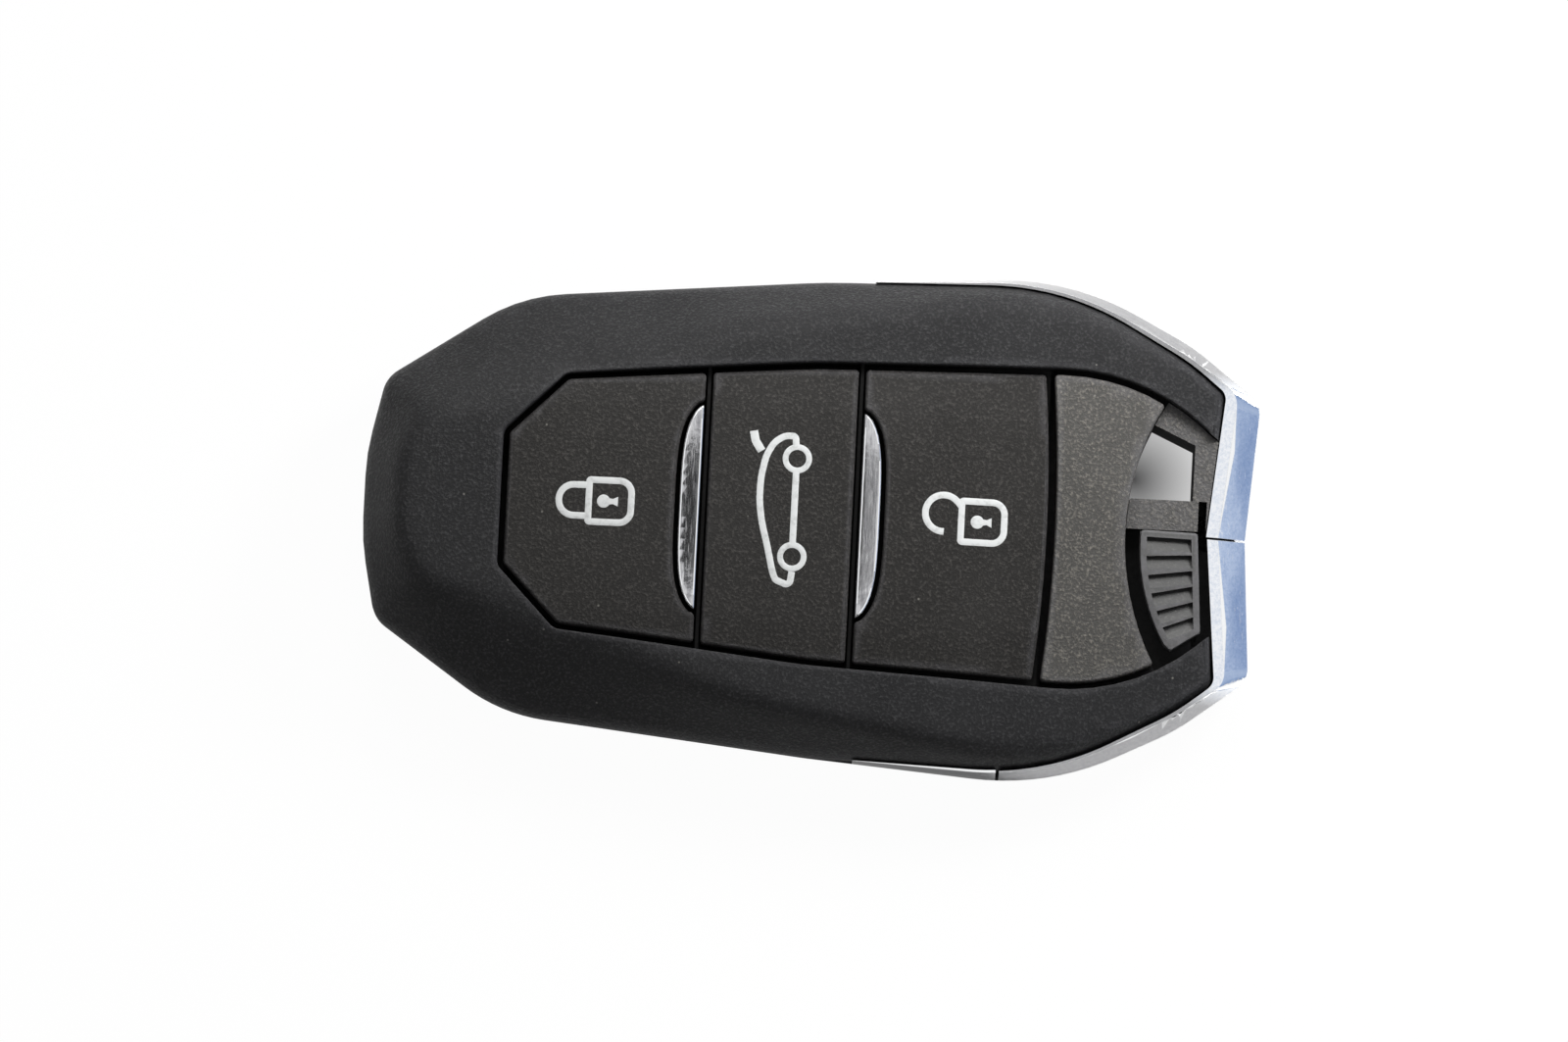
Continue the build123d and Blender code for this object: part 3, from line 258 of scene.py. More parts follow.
@dataclass(frozen=True)
class Plan:
    """Plan sizes and levels of the casing, in millimetres, from its front."""

    half_length: float = 40.5
    half_width: float = 22.8
    crown_top: float = 15.5
    crown_long_radius: float = 200.375
    crown_cross_radius: float = 90.0
    crown_centre_x: float = -12.0
    band_top_z: float = 8.4
    parting_z: float = 5.4
    seat_gap: float = 0.1
    wall: float = 1.5
    crease: float = 1.3
    least_slope: float = 0.5
    mouth_past_end: float = 1.7
    mouth_half: float = 4.9

    @property
    def shell_edge(self) -> list[Corner]:
        """Half outline of the black shell's edge, from the nose to the tail.

        Returns:
            Its corners as (x, y, rounding).
        """
        end, side = self.half_length, self.half_width
        return [(-end, 4.0, 20.0), (-end + 1.45, 10.95, 3.0), (-end + 13.3, 19.0, 16.0),
                (0.5, 21.65, 60.0), (end - 18.2, side - 0.59, 25.0), (end - 6.5, 15.85, 20.0),
                (end - 3.2, 13.2, 1.2)]

    @property
    def end_dip(self) -> Corner:
        """Corner of the shell's end line on the middle of the key."""
        return (self.half_length - 4.45, 0.0, 1.0)

    @property
    def ridge(self) -> list[Corner]:
        """Half outline where the sloping sides would meet the crown's top level.

        Returns:
            Its corners as (x, y, rounding).
        """
        end = self.half_length
        return [(-end + 4.3, 3.2, 5.0), (-end + 6.3, 6.4, 3.0), (-end + 18.0, 10.0, 16.0),
                (-end + 34.5, 15.7, 30.0), (end - 22.5, 18.4, 25.0), (end - 7.5, 12.5, 10.0),
                (end - 4.3, 10.8, 2.0), (end - 5.3, 0.0, 1.0)]

    @property
    def window(self) -> list[Corner]:
        """Half outline of the window in the shell, open at the tail.

        Returns:
            Its corners as (x, y, rounding).
        """
        end = self.half_length
        return [(-end + 12.5, 6.15, 1.2), (-end + 17.9, 11.6, 1.5), (0.0, 13.75, 60.0),
                (end - 10.6, 14.8, 19.0), (end - 4.3, 9.4, 0.0)]

    @property
    def horn_tip(self) -> Corner:
        """Where the window's edge meets the shell's end line."""
        return (self.half_length - 3.61, 8.88, 0.0)

    def window_outline(self, inset: float) -> list[Point]:
        """Closed outline of the window, moved in, running out past the tail."""
        mouth = [(self.half_length + self.mouth_past_end, self.mouth_half, 0.0)]
        return sampled(moved_in(mirrored(self.window + mouth), inset))

    def crown(self, at: np.ndarray) -> np.ndarray:
        """Height of the doubly arched front face.

        Args:
            at: Points of the plan, one row each.

        Returns:
            The face's height over each point.
        """
        radius = self.crown_cross_radius
        swing = self.crown_long_radius - (radius - np.sqrt(radius ** 2 - at[:, 1] ** 2))
        along = np.sqrt(swing ** 2 - (at[:, 0] - self.crown_centre_x) ** 2)
        return self.crown_top - self.crown_long_radius + along

    def shell_top(self, at: np.ndarray) -> np.ndarray:
        """Height of the shell: its sloping sides under the crown, the crease rounded.

        Args:
            at: Points of the plan, one row each.

        Returns:
            The shell's height over each point.
        """
        edge = depth_in(sampled(mirrored(self.shell_edge + [self.end_dip])), at)
        ridge = depth_in(sampled(mirrored(self.ridge)), at)
        share = np.clip(edge, 0, None) / np.maximum(edge - ridge, self.least_slope)
        slope = self.band_top_z + (self.crown_top - self.band_top_z) * share
        return soft_min(slope, self.crown(at), self.crease)


PLAN = Plan()


# Modelling tools: sizes are in millimetres until a piece is settled


def deselect() -> None:
    """Leaves nothing selected."""
    bpy.ops.object.select_all(action="DESELECT")


def make_active(piece: bpy.types.Object) -> None:
    """Selects one object alone and makes it the active one.

    Args:
        piece: The object.
    """
    deselect()
    piece.select_set(True)
    bpy.context.view_layer.objects.active = piece


@contextmanager
def editing(piece: bpy.types.Object) -> Iterator[bpy.types.Object]:
    """Edit mode on one piece, with all of it selected at the start.

    Args:
        piece: The piece.

    Yields:
        The piece, back in object mode once the block ends.
    """
    make_active(piece)
    bpy.ops.object.mode_set(mode="EDIT")
    bpy.ops.mesh.select_all(action="SELECT")
    yield piece
    bpy.ops.object.mode_set(mode="OBJECT")


def pick_edges(piece: bpy.types.Object, test: EdgeTest) -> int:
    """Selects the edges that pass a test, in edit mode.

    Args:
        piece: The piece that is being edited.
        test: Says whether an edge is wanted.

    Returns:
        How many edges it selected.
    """
    bpy.context.tool_settings.mesh_select_mode = (False, True, False)
    bpy.ops.mesh.select_all(action="DESELECT")
    mesh = bmesh.from_edit_mesh(piece.data)
    mesh.normal_update()
    found = [edge for edge in mesh.edges if test(edge)]
    for edge in found:
        edge.select_set(True)
    bmesh.update_edit_mesh(piece.data)
    return len(found)


def points_of(piece: bpy.types.Object) -> np.ndarray:
    """Reads the places of a piece's points.

    Args:
        piece: The piece.

    Returns:
        One row of x, y and z for each point, in single precision as the mesh has them.
    """
    places = np.empty(len(piece.data.vertices) * 3, np.float32)
    piece.data.vertices.foreach_get("co", places)
    return places.reshape(-1, 3)


def move_points(piece: bpy.types.Object, places: np.ndarray) -> None:
    """Moves every point of a piece to the place in its row."""
    piece.data.vertices.foreach_set("co", places.astype(np.float32).ravel())
    piece.data.update()


def flat_face(name: str, outline: Sequence[Point], z: float) -> bpy.types.Object:
    """A filled circle whose rim is moved onto an outline, facing up.

    Args:
        name: The piece's name.
        outline: Points of the closed outline.
        z: The face's height.

    Returns:
        The piece.
    """
    deselect()
    bpy.ops.mesh.primitive_circle_add(vertices=len(outline), fill_type="NGON")
    piece = bpy.context.object
    piece.name = name
    move_points(piece, np.array([(x, y, z) for x, y in outline]))
    if piece.data.polygons[0].normal.z < 0:
        with editing(piece):
            bpy.ops.mesh.flip_normals()
    return piece


def prism(name: str, outline: Sequence[Point], low: float, high: float) -> bpy.types.Object:
    """Closed upright block of an outline between two levels.

    Args:
        name: The piece's name.
        outline: Points of the closed outline.
        low: Height of its underside.
        high: Height of its top.

    Returns:
        The block.
    """
    piece = flat_face(name, outline, high)
    with editing(piece):
        bpy.ops.mesh.extrude_region_move(TRANSFORM_OT_translate={"value": (0, 0, low - high)})
        bpy.ops.mesh.select_all(action="SELECT")
        bpy.ops.mesh.normals_make_consistent(inside=False)
    return piece


def apply_modifier(piece: bpy.types.Object, kind: str, **settings: object) -> None:
    """Adds a modifier and applies it.

    Args:
        piece: The piece.
        kind: Blender's name of the modifier's type.
        settings: Values of the modifier's own properties.
    """
    make_active(piece)
    modifier = piece.modifiers.new(kind.title(), kind)
    for name, value in settings.items():
        setattr(modifier, name, value)
    bpy.ops.object.modifier_apply(modifier=modifier.name)


def combine(piece: bpy.types.Object, tool: bpy.types.Object, how: str) -> None:
    """Cuts, keeps or adds another solid, which is used up."""
    apply_modifier(piece, "BOOLEAN", operation=how, object=tool, solver="EXACT")
    bpy.data.objects.remove(tool)


def cut_off(piece: bpy.types.Object, axis: int, place: float, above: bool) -> None:
    """Cuts a piece at a plane square to an axis, drops one side and closes the cut.

    Args:
        piece: The piece.
        axis: Number of the axis.
        place: Where on the axis the plane stands.
        above: Whether the side above the plane is the one that is dropped.
    """
    normal = [0.0, 0.0, 0.0]
    normal[axis] = 1.0
    with editing(piece):
        bpy.ops.mesh.bisect(plane_co=[place * n for n in normal], plane_no=normal, use_fill=True,
                            clear_outer=above, clear_inner=not above, threshold=PLANE_TOLERANCE)


def round_edges(piece: bpy.types.Object, test: EdgeTest, radius: float,
                segments: int = 3) -> None:
    """Rounds the edges that pass a test.

    Args:
        piece: The piece.
        test: Says whether an edge is rounded.
        radius: How far the rounding reaches from the edge.
        segments: Number of faces across it.
    """
    with editing(piece):
        if pick_edges(piece, test):
            bpy.ops.mesh.bevel(offset=radius, segments=segments, profile=0.5, affect="EDGES",
                               loop_slide=False)


def soften(piece: bpy.types.Object, width: float, segments: int, angle: float) -> None:
    """Rounds every edge of a piece that bends by more than an angle, in degrees."""
    apply_modifier(piece, "BEVEL", width=width, segments=segments, limit_method="ANGLE",
                   angle_limit=math.radians(angle))


def rim_of(piece: bpy.types.Object, z: float) -> list[Point]:
    """Reads the outline of the largest flat face at a height.

    Args:
        piece: The piece.
        z: The face's height.

    Returns:
        The face's points in order, anticlockwise.
    """
    mesh = piece.data
    tops = [face for face in mesh.polygons if face.normal.z > FLAT_NORMAL
            and all(abs(mesh.vertices[i].co.z - z) < LEVEL_TOLERANCE for i in face.vertices)]
    largest = max(tops, key=lambda face: face.area)
    return [tuple(mesh.vertices[i].co.xy) for i in largest.vertices]


def cleaned(points: Sequence[Point], corner: float, shortest: float = 0.06,
            straight: float = 0.05, sharp: float = 32.0) -> list[Point]:
    """An outline without tiny pieces, its sharp corners rounded.

    Args:
        points: Points of a closed outline.
        corner: Radius of the arc that replaces each sharp corner.
        shortest: Points nearer to the last kept one than this are dropped.
        straight: Points where the outline turns by less, in degrees, are dropped.
        sharp: Turn, in degrees, past which a corner is rounded.

    Returns:
        The new points.
    """
    kept: list[Point] = []
    for point in points:
        if not kept or math.dist(point, kept[-1]) > shortest:
            kept.append(point)
    if math.dist(kept[0], kept[-1]) <= shortest:
        kept.pop()
    corners = []
    for i, (x, y) in enumerate(kept):
        arriving, leaving = headings(kept, i)
        turn = math.acos(max(-1.0, min(1.0, arriving.dot(leaving))))
        if turn > math.radians(straight):
            rounding = corner if turn > math.radians(sharp) else 0.0
            corners.append((x, y, rounding, corner * math.tan(turn / 2)))
    rounded = [c for c in corners if c[2]]
    clear = [c[:3] for c in corners
             if c[2] or all(math.dist(c[:2], r[:2]) > r[3] + shortest for r in rounded)]
    return sampled(clear, turn=15)


def rebuilt(piece: bpy.types.Object, low: float, high: float, corner: float) -> bpy.types.Object:
    """The same upright block with a clean outline, in place of a piece cut to shape.

    Args:
        piece: The block that was cut to shape.
        low: Height of its underside.
        high: Height of its top.
        corner: Radius of its upright corners.

    Returns:
        The new block.
    """
    outline, name = cleaned(rim_of(piece, high), corner), piece.name
    bpy.data.objects.remove(piece)
    return prism(name, outline, low, high)


def is_rim(z: float) -> EdgeTest:
    """Makes the test for the edges round a flat top.

    Args:
        z: Height of the top.

    Returns:
        The test.
    """
    def test(edge: bmesh.types.BMEdge) -> bool:
        """Whether the edge is level at z, between one flat face and one that isn't.

        Args:
            edge: The edge to look at.

        Returns:
            True where it is part of the rim.
        """
        level = all(abs(vert.co.z - z) < LEVEL_TOLERANCE for vert in edge.verts)
        flat = [abs(face.normal.z) > FLAT_NORMAL for face in edge.link_faces]
        return level and len(flat) == 2 and flat.count(True) == 1
    return test


def slice_up(piece: bpy.types.Object, pitch: float) -> None:
    """Cuts a piece across in both directions, so that it can follow a curved face.

    Args:
        piece: The piece.
        pitch: Distance between two cuts.
    """
    low, high = np.array(piece.bound_box).min(0), np.array(piece.bound_box).max(0)
    with editing(piece):
        for axis in (0, 1):
            normal = (1 - axis, axis, 0)
            for k in range(math.ceil(low[axis] / pitch), math.floor(high[axis] / pitch) + 1):
                bpy.ops.mesh.select_all(action="SELECT")
                place = [k * pitch * n for n in normal]
                bpy.ops.mesh.bisect(plane_co=place, plane_no=normal, threshold=PLANE_TOLERANCE)


def raise_onto(piece: bpy.types.Object, surface: Surface, datum: float, floor: float,
               base: float = -REACH, least_share: float = 0.01, least_height: float = 0.02) -> None:
    """Lifts what lies above floor by the surface's height over datum, and stretches the rest.

    Args:
        piece: The piece, modelled flat.
        surface: Height of the curved face over points of the plan.
        datum: Height at which the piece was modelled flat.
        floor: Lowest height that is lifted in full.
        base: Height of the underside, which stays where it is.
        least_share: Least share of its height that the stretched part keeps.
        least_height: Least height over base of what is lifted in full.
    """
    places = points_of(piece)
    lift = (surface(places[:, :2].astype(float)) - datum).astype(np.float32)
    high = places[:, 2] > floor
    room = np.maximum((floor + lift - base) / (floor - base), least_share)
    low = base + (places[:, 2] - base) * np.where(places[:, 2] > base, room, 1.0)
    places[:, 2] = np.where(high, np.maximum(places[:, 2] + lift, base + least_height), low)
    move_points(piece, places)


def node_copy(node: str, name: str, flat: float = 0.4) -> bpy.types.Object:
    """A merged copy of a construction node's mesh, in millimetres.

    Args:
        node: The construction node that is copied.
        name: The new piece's name.
        flat: Faces that meet at a smaller angle than this, in degrees, become one.

    Returns:
        The new object, with its flat faces joined up again.
    """
    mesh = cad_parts[node].data.copy()
    mesh.materials.clear()
    mesh.transform(Matrix.Scale(1 / MM, 4))
    piece = bpy.data.objects.new(name, mesh)
    bpy.context.scene.collection.objects.link(piece)
    make_active(piece)
    bpy.ops.mesh.customdata_custom_splitnormals_clear()
    with editing(piece):
        bpy.ops.mesh.remove_doubles(threshold=MERGE_DISTANCE)
        bpy.ops.mesh.dissolve_limited(angle_limit=math.radians(flat))
    return piece


def mark_edges(piece: bpy.types.Object, spread: float = 0.5, least_width: float = 0.02,
               crest_width: float = 0.25) -> None:
    """Writes how exposed the piece is: 1 on a rounded outer edge, 0 inside.

    The attribute exposed holds it for each point, and crest for each narrow face.

    Args:
        piece: The piece, modelled in millimetres.
        spread: Radius of the widest rounding that still counts in full.
        least_width: Width that a narrower face counts as.
        crest_width: Width of the widest face that can be a crest.
    """
    mesh = bmesh.new()
    mesh.from_mesh(piece.data)
    mesh.normal_update()
    layer = mesh.verts.layers.float.new("exposed")
    for vert in mesh.verts:
        sharpest = 0.0
        for edge in vert.link_edges:
            if len(edge.link_faces) == 2 and edge.is_convex:
                across = min(face.calc_area() / max(edge.calc_length(), TINY)
                             for face in edge.link_faces)
                bend = edge.calc_face_angle(0.0) / max(across, least_width)
                sharpest = max(sharpest, bend * spread)
        vert[layer] = min(sharpest, 1.0)
    exposed = {face.index: min(vert[layer] for vert in face.verts)
               * (face.calc_area() < crest_width * max(edge.calc_length() for edge in face.edges))
               for face in mesh.faces}
    mesh.to_mesh(piece.data)
    mesh.free()
    crest = piece.data.attributes.new("crest", "FLOAT", "FACE")
    crest.data.foreach_set("value", [exposed[i] for i in range(len(piece.data.polygons))])


def settle(piece: bpy.types.Object, material: bpy.types.Material, body: Body,
           replaces: Sequence[str] = (), smooth: float = 32.0) -> None:
    """Brings a modelled piece to metres, dresses it and puts it on its body.

    Args:
        piece: The piece, modelled in millimetres.
        material: Its finish.
        body: The body it rides on.
        replaces: Construction nodes that it stands for.
        smooth: Largest angle, in degrees, across which shading stays smooth.
    """
    mark_edges(piece)
    piece.data.transform(Matrix.Scale(MM, 4))
    make_active(piece)
    bpy.ops.object.shade_smooth_by_angle(angle=math.radians(smooth))
    apply_modifier(piece, "WEIGHTED_NORMAL", keep_sharp=True)
    piece.data.materials.clear()
    piece.data.materials.append(material)
    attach(piece, body.value)
    if replaces:
        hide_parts(*replaces)
    LOG.info("%s: %d faces", piece.name, len(piece.data.polygons))


# Finishes


def linear(colour: str) -> tuple[float, float, float, float]:
    """Linear colour of an sRGB hex value such as #2b2b2c."""
    parts = [int(colour[i:i + 2], 16) / 255 for i in (1, 3, 5)]
    return (*(c / 12.92 if c <= 0.04045 else ((c + 0.055) / 1.055) ** 2.4 for c in parts), 1.0)


def add(tree: bpy.types.NodeTree, kind: str, settings: dict[str, object] | None = None,
        inputs: dict[str | int, object] | None = None,
        stops: Sequence[tuple[float, Sequence[float]]] = ()) -> bpy.types.Node:
    """Adds a node with its settings, and sets or links its inputs.

    Args:
        tree: The material's or world's node tree.
        kind: Blender's name of the node type.
        settings: Values of the node's own properties.
        inputs: A value, or another node's output socket, for each named or numbered input.
        stops: Places and linear colours along its colour ramp, if it has one.

    Returns:
        The new node.
    """
    node = tree.nodes.new(kind)
    for name, value in (settings or {}).items():
        setattr(node, name, value)
    for name, value in (inputs or {}).items():
        if isinstance(value, bpy.types.NodeSocket):
            tree.links.new(value, node.inputs[name])
        else:
            node.inputs[name].default_value = value
    for number, (position, colour) in enumerate(stops):
        ramp = node.color_ramp.elements
        stop = ramp[number] if number < len(ramp) else ramp.new(position)
        stop.position, stop.color = position, colour
    return node


def new_material(name: str) -> tuple[bpy.types.Material, bpy.types.NodeTree, bpy.types.NodeSocket]:
    """An empty node material, its tree, and its object coordinates.

    Args:
        name: The material's name.

    Returns:
        The material, its node tree and the socket of its object coordinates.
    """
    material = bpy.data.materials.new(name)
    material.use_nodes = True
    tree = material.node_tree
    tree.nodes.clear()
    place = add(tree, "ShaderNodeTexCoord").outputs["Object"]
    return material, tree, place


def per_mm(size: float) -> float:
    """Scale of a pattern whose features are size millimetres apart."""
    return 1 / (size * MM)


@dataclass(frozen=True)
class MouldedPlastic:
    """Injection-moulded plastic with an eroded grain from its mould.

    A real grain of about 0.1 mm is too fine to show, so it is drawn two to three times as wide.
    """

    name: str
    dark: str
    light: str
    grain: float
    grain_depth: float
    roughness: float
    gloss: float = 0.5
    # Colour painted on the grain's peaks as glints, and how much of it
    grain_glint: str = "#4c4a47"
    grain_glint_share: float = 0.5
    edge: str = "#77767a"
    edge_share: float = 0.3
    dust: str = "#8c8a84"
    dust_share: float = 0.5
    dust_apart: float = 2.6
    cloud: float = 9.0
    rub: float = 1.1
    rough_swing: float = 0.06

    def tone(self, tree: bpy.types.NodeTree, place: bpy.types.NodeSocket,
             grain: bpy.types.NodeSocket) -> bpy.types.NodeSocket:
        """Clouded colour with painted glints, a paler tone, on the grain's peaks.

        Args:
            tree: The material's node tree.
            place: Object coordinates.
            grain: Height of the grain.

        Returns:
            The colour.
        """
        cloud = add(tree, "ShaderNodeTexNoise", {}, {
            "Vector": place, "Scale": per_mm(self.cloud), "Detail": 5.0, "Roughness": 0.6})
        tone = add(tree, "ShaderNodeValToRGB", {}, {"Fac": cloud.outputs["Fac"]},
                   [(0.32, linear(self.dark)), (0.72, linear(self.light))])
        # Painted glints: the grain's peaks are mixed towards a paler colour, as if they caught the
        # light
        tip = add(tree, "ShaderNodeMapRange", {}, {
            "Value": grain, "From Min": 0.5, "From Max": 0.78, "To Max": self.grain_glint_share})
        return add(tree, "ShaderNodeMix", {"data_type": "RGBA"}, {
            SHARE: tip.outputs["Result"], FIRST: tone.outputs["Color"],
            SECOND: linear(self.grain_glint)}).outputs[MIXED]

    def worn(self, tree: bpy.types.NodeTree, place: bpy.types.NodeSocket,
             colour: bpy.types.NodeSocket) -> bpy.types.NodeSocket:
        """The colour with pale rubbed edges, broken up, and specks of dust.

        Args:
            tree: The material's node tree.
            place: Object coordinates.
            colour: The colour before wear.

        Returns:
            The worn colour.
        """
        exposed = add(tree, "ShaderNodeAttribute", {"attribute_name": "exposed"})
        rubs = add(tree, "ShaderNodeTexNoise", {}, {
            "Vector": place, "Scale": per_mm(self.rub), "Detail": 4.0, "Roughness": 0.7})
        rub = add(tree, "ShaderNodeMapRange", {}, {
            "Value": rubs.outputs["Fac"], "From Min": 0.35, "From Max": 0.65,
            "To Min": 0.35 * self.edge_share, "To Max": self.edge_share})
        rub = add(tree, "ShaderNodeMath", {"operation": "MULTIPLY"}, {
            0: exposed.outputs["Fac"], 1: rub.outputs["Result"]})
        edged = add(tree, "ShaderNodeMix", {"data_type": "RGBA"}, {
            SHARE: rub.outputs["Value"], FIRST: colour, SECOND: linear(self.edge)})
        cells = add(tree, "ShaderNodeTexVoronoi", {}, {
            "Vector": place, "Scale": per_mm(self.dust_apart), "Randomness": 1.0})
        speck = add(tree, "ShaderNodeMapRange", {}, {
            "Value": cells.outputs["Distance"], "From Min": 0.05, "From Max": 0.022,
            "To Max": self.dust_share})
        chance = add(tree, "ShaderNodeSeparateColor", {}, {"Color": cells.outputs["Color"]})
        chosen = add(tree, "ShaderNodeMath", {"operation": "GREATER_THAN"}, {
            0: chance.outputs["Red"], 1: 0.6})
        speck = add(tree, "ShaderNodeMath", {"operation": "MULTIPLY"}, {
            0: speck.outputs["Result"], 1: chosen.outputs["Value"]})
        return add(tree, "ShaderNodeMix", {"data_type": "RGBA"}, {
            SHARE: speck.outputs["Value"], FIRST: edged.outputs[MIXED],
            SECOND: linear(self.dust)}).outputs[MIXED]

    def material(self) -> bpy.types.Material:
        """Grained plastic: its colour with painted glints on the grain, wear, gloss and bump.

        Returns:
            The material.
        """
        material, tree, place = new_material(self.name)
        grain = add(tree, "ShaderNodeTexNoise", {}, {
            "Vector": place, "Scale": per_mm(self.grain), "Detail": 2.0,
            "Roughness": 0.6}).outputs["Fac"]
        colour = self.worn(tree, place, self.tone(tree, place, grain))
        rough = add(tree, "ShaderNodeMapRange", {}, {
            "Value": grain, "From Min": 0.3, "From Max": 0.7,
            "To Min": self.roughness + self.rough_swing,
            "To Max": self.roughness - self.rough_swing})
        bump = add(tree, "ShaderNodeBump", {}, {
            "Height": grain, "Strength": 1.0, "Distance": self.grain_depth * MM})
        shader = add(tree, "ShaderNodeBsdfPrincipled", {}, {
            "Base Color": colour, "Roughness": rough.outputs["Result"],
            "Normal": bump.outputs["Normal"], "IOR": 1.46, "Specular IOR Level": self.gloss})
        add(tree, "ShaderNodeOutputMaterial", {}, {"Surface": shader.outputs["BSDF"]})
        return material


@dataclass(frozen=True)
class PlatedChrome:
    """Bright chromium over nickel on moulded plastic, rubbed by pockets.

    Real hairlines are too fine to show, so they are drawn as wide as the camera can see.
    """

    name: str
    bright: str
    dull: str
    side_shade_bright: str
    side_shade_dull: str
    roughness: float
    # Pale tone painted on narrow edge crests as a highlight, which scratches also turn towards
    highlight_tone: str = "#f4f5f6"
    end_half: float = 13.4
    side_starts: float = 15.2
    haze: float = 0.35
    drawn: float = 1.0
    wave: float = 1.0
    wave_depth: float = 0.016
    scratch: float = 0.09
    scratch_stretch: float = 0.02
    scratch_depth: float = 0.004
    scratch_paler: float = 0.12
    scratch_duller: float = 0.15
    most_highlight_tone: float = 0.9
    scratch_angles: tuple[float, ...] = (24.0, -52.0)

    def clouded(self, tree: bpy.types.NodeTree, haze: bpy.types.NodeSocket, dull: str,
                bright: str) -> bpy.types.NodeSocket:
        """Two tones of the plate that run into each other.

        Args:
            tree: The material's node tree.
            haze: How hazy each point is.
            dull: Colour of the haze.
            bright: Colour of the clear plate.

        Returns:
            The colour.
        """
        tone = add(tree, "ShaderNodeValToRGB", {}, {"Fac": haze},
                   [(0.34, linear(dull)), (0.6, linear(bright))])
        return tone.outputs["Color"]

    def hairlines(self, tree: bpy.types.NodeTree, place: bpy.types.NodeSocket,
                  angle: float) -> bpy.types.NodeSocket:
        """Long thin scratches that run one way: 1 on a scratch, 0 beside it.

        Args:
            tree: The material's node tree.
            place: Object coordinates.
            angle: Which way they run, in degrees.

        Returns:
            How scratched each point is.
        """
        turned = add(tree, "ShaderNodeMapping", {}, {
            "Vector": place, "Rotation": (0.0, 0.0, math.radians(angle)),
            "Scale": (1.0, self.scratch_stretch, 1.0)})
        noise = add(tree, "ShaderNodeTexNoise", {}, {
            "Vector": turned.outputs["Vector"], "Scale": per_mm(self.scratch), "Detail": 1.0})
        line = add(tree, "ShaderNodeMapRange", {}, {
            "Value": noise.outputs["Fac"], "From Min": 0.62, "From Max": 0.78})
        return line.outputs["Result"]

    def material(self) -> bpy.types.Material:
        """Mirror metal, slightly wavy, scratched, with painted reflections, a darker grey on the
        long sides, and painted highlights on its narrow edge crests.

        Returns:
            The material.
        """
        material, tree, place = new_material(self.name)
        along = add(tree, "ShaderNodeMapping", {}, {
            "Vector": place, "Scale": (1.0, self.drawn, 1.0)})
        haze = add(tree, "ShaderNodeTexNoise", {}, {
            "Vector": along.outputs["Vector"], "Scale": per_mm(self.haze), "Detail": 4.0,
            "Roughness": 0.75}).outputs["Fac"]
        where = add(tree, "ShaderNodeSeparateXYZ", {}, {"Vector": place})
        aside = add(tree, "ShaderNodeMath", {"operation": "ABSOLUTE"}, {0: where.outputs["Y"]})
        # Painted reflections: the long sides past side_starts take a darker grey than the end
        at_end = add(tree, "ShaderNodeMapRange", {}, {
            "Value": aside.outputs["Value"], "From Min": self.side_starts * MM,
            "From Max": self.end_half * MM})
        tone = add(tree, "ShaderNodeMix", {"data_type": "RGBA"}, {
            SHARE: at_end.outputs["Result"],
            FIRST: self.clouded(tree, haze, self.side_shade_dull, self.side_shade_bright),
            SECOND: self.clouded(tree, haze, self.dull, self.bright)})
        first, second = (self.hairlines(tree, place, a) for a in self.scratch_angles)
        scratch = add(tree, "ShaderNodeMath", {"operation": "MAXIMUM"}, {0: first, 1: second})
        # Painted highlights: narrow crest faces on rounded edges, and paler scratches, are mixed
        # towards a pale tone
        crest = add(tree, "ShaderNodeAttribute", {"attribute_name": "crest"})
        lit = add(tree, "ShaderNodeMath", {"operation": "MULTIPLY_ADD"}, {
            0: scratch.outputs["Value"], 1: self.scratch_paler, 2: crest.outputs["Fac"]})
        lit = add(tree, "ShaderNodeMath", {"operation": "MINIMUM"}, {
            0: lit.outputs["Value"], 1: self.most_highlight_tone})
        tone = add(tree, "ShaderNodeMix", {"data_type": "RGBA"}, {
            SHARE: lit.outputs["Value"], FIRST: tone.outputs[MIXED],
            SECOND: linear(self.highlight_tone)})
        rough = add(tree, "ShaderNodeMath", {"operation": "MULTIPLY_ADD"}, {
            0: scratch.outputs["Value"], 1: self.scratch_duller, 2: self.roughness})
        waves = add(tree, "ShaderNodeTexNoise", {}, {
            "Vector": place, "Scale": per_mm(self.wave), "Detail": 3.0})
        swell = add(tree, "ShaderNodeBump", {}, {
            "Height": waves.outputs["Fac"], "Strength": 1.0, "Distance": self.wave_depth * MM})
        bump = add(tree, "ShaderNodeBump", {"invert": True}, {
            "Height": scratch.outputs["Value"], "Strength": 0.4,
            "Distance": self.scratch_depth * MM, "Normal": swell.outputs["Normal"]})
        shader = add(tree, "ShaderNodeBsdfPrincipled", {}, {
            "Base Color": tone.outputs[MIXED], "Metallic": 1.0,
            "Roughness": rough.outputs["Value"], "Normal": bump.outputs["Normal"]})
        add(tree, "ShaderNodeOutputMaterial", {}, {"Surface": shader.outputs["BSDF"]})
        return material


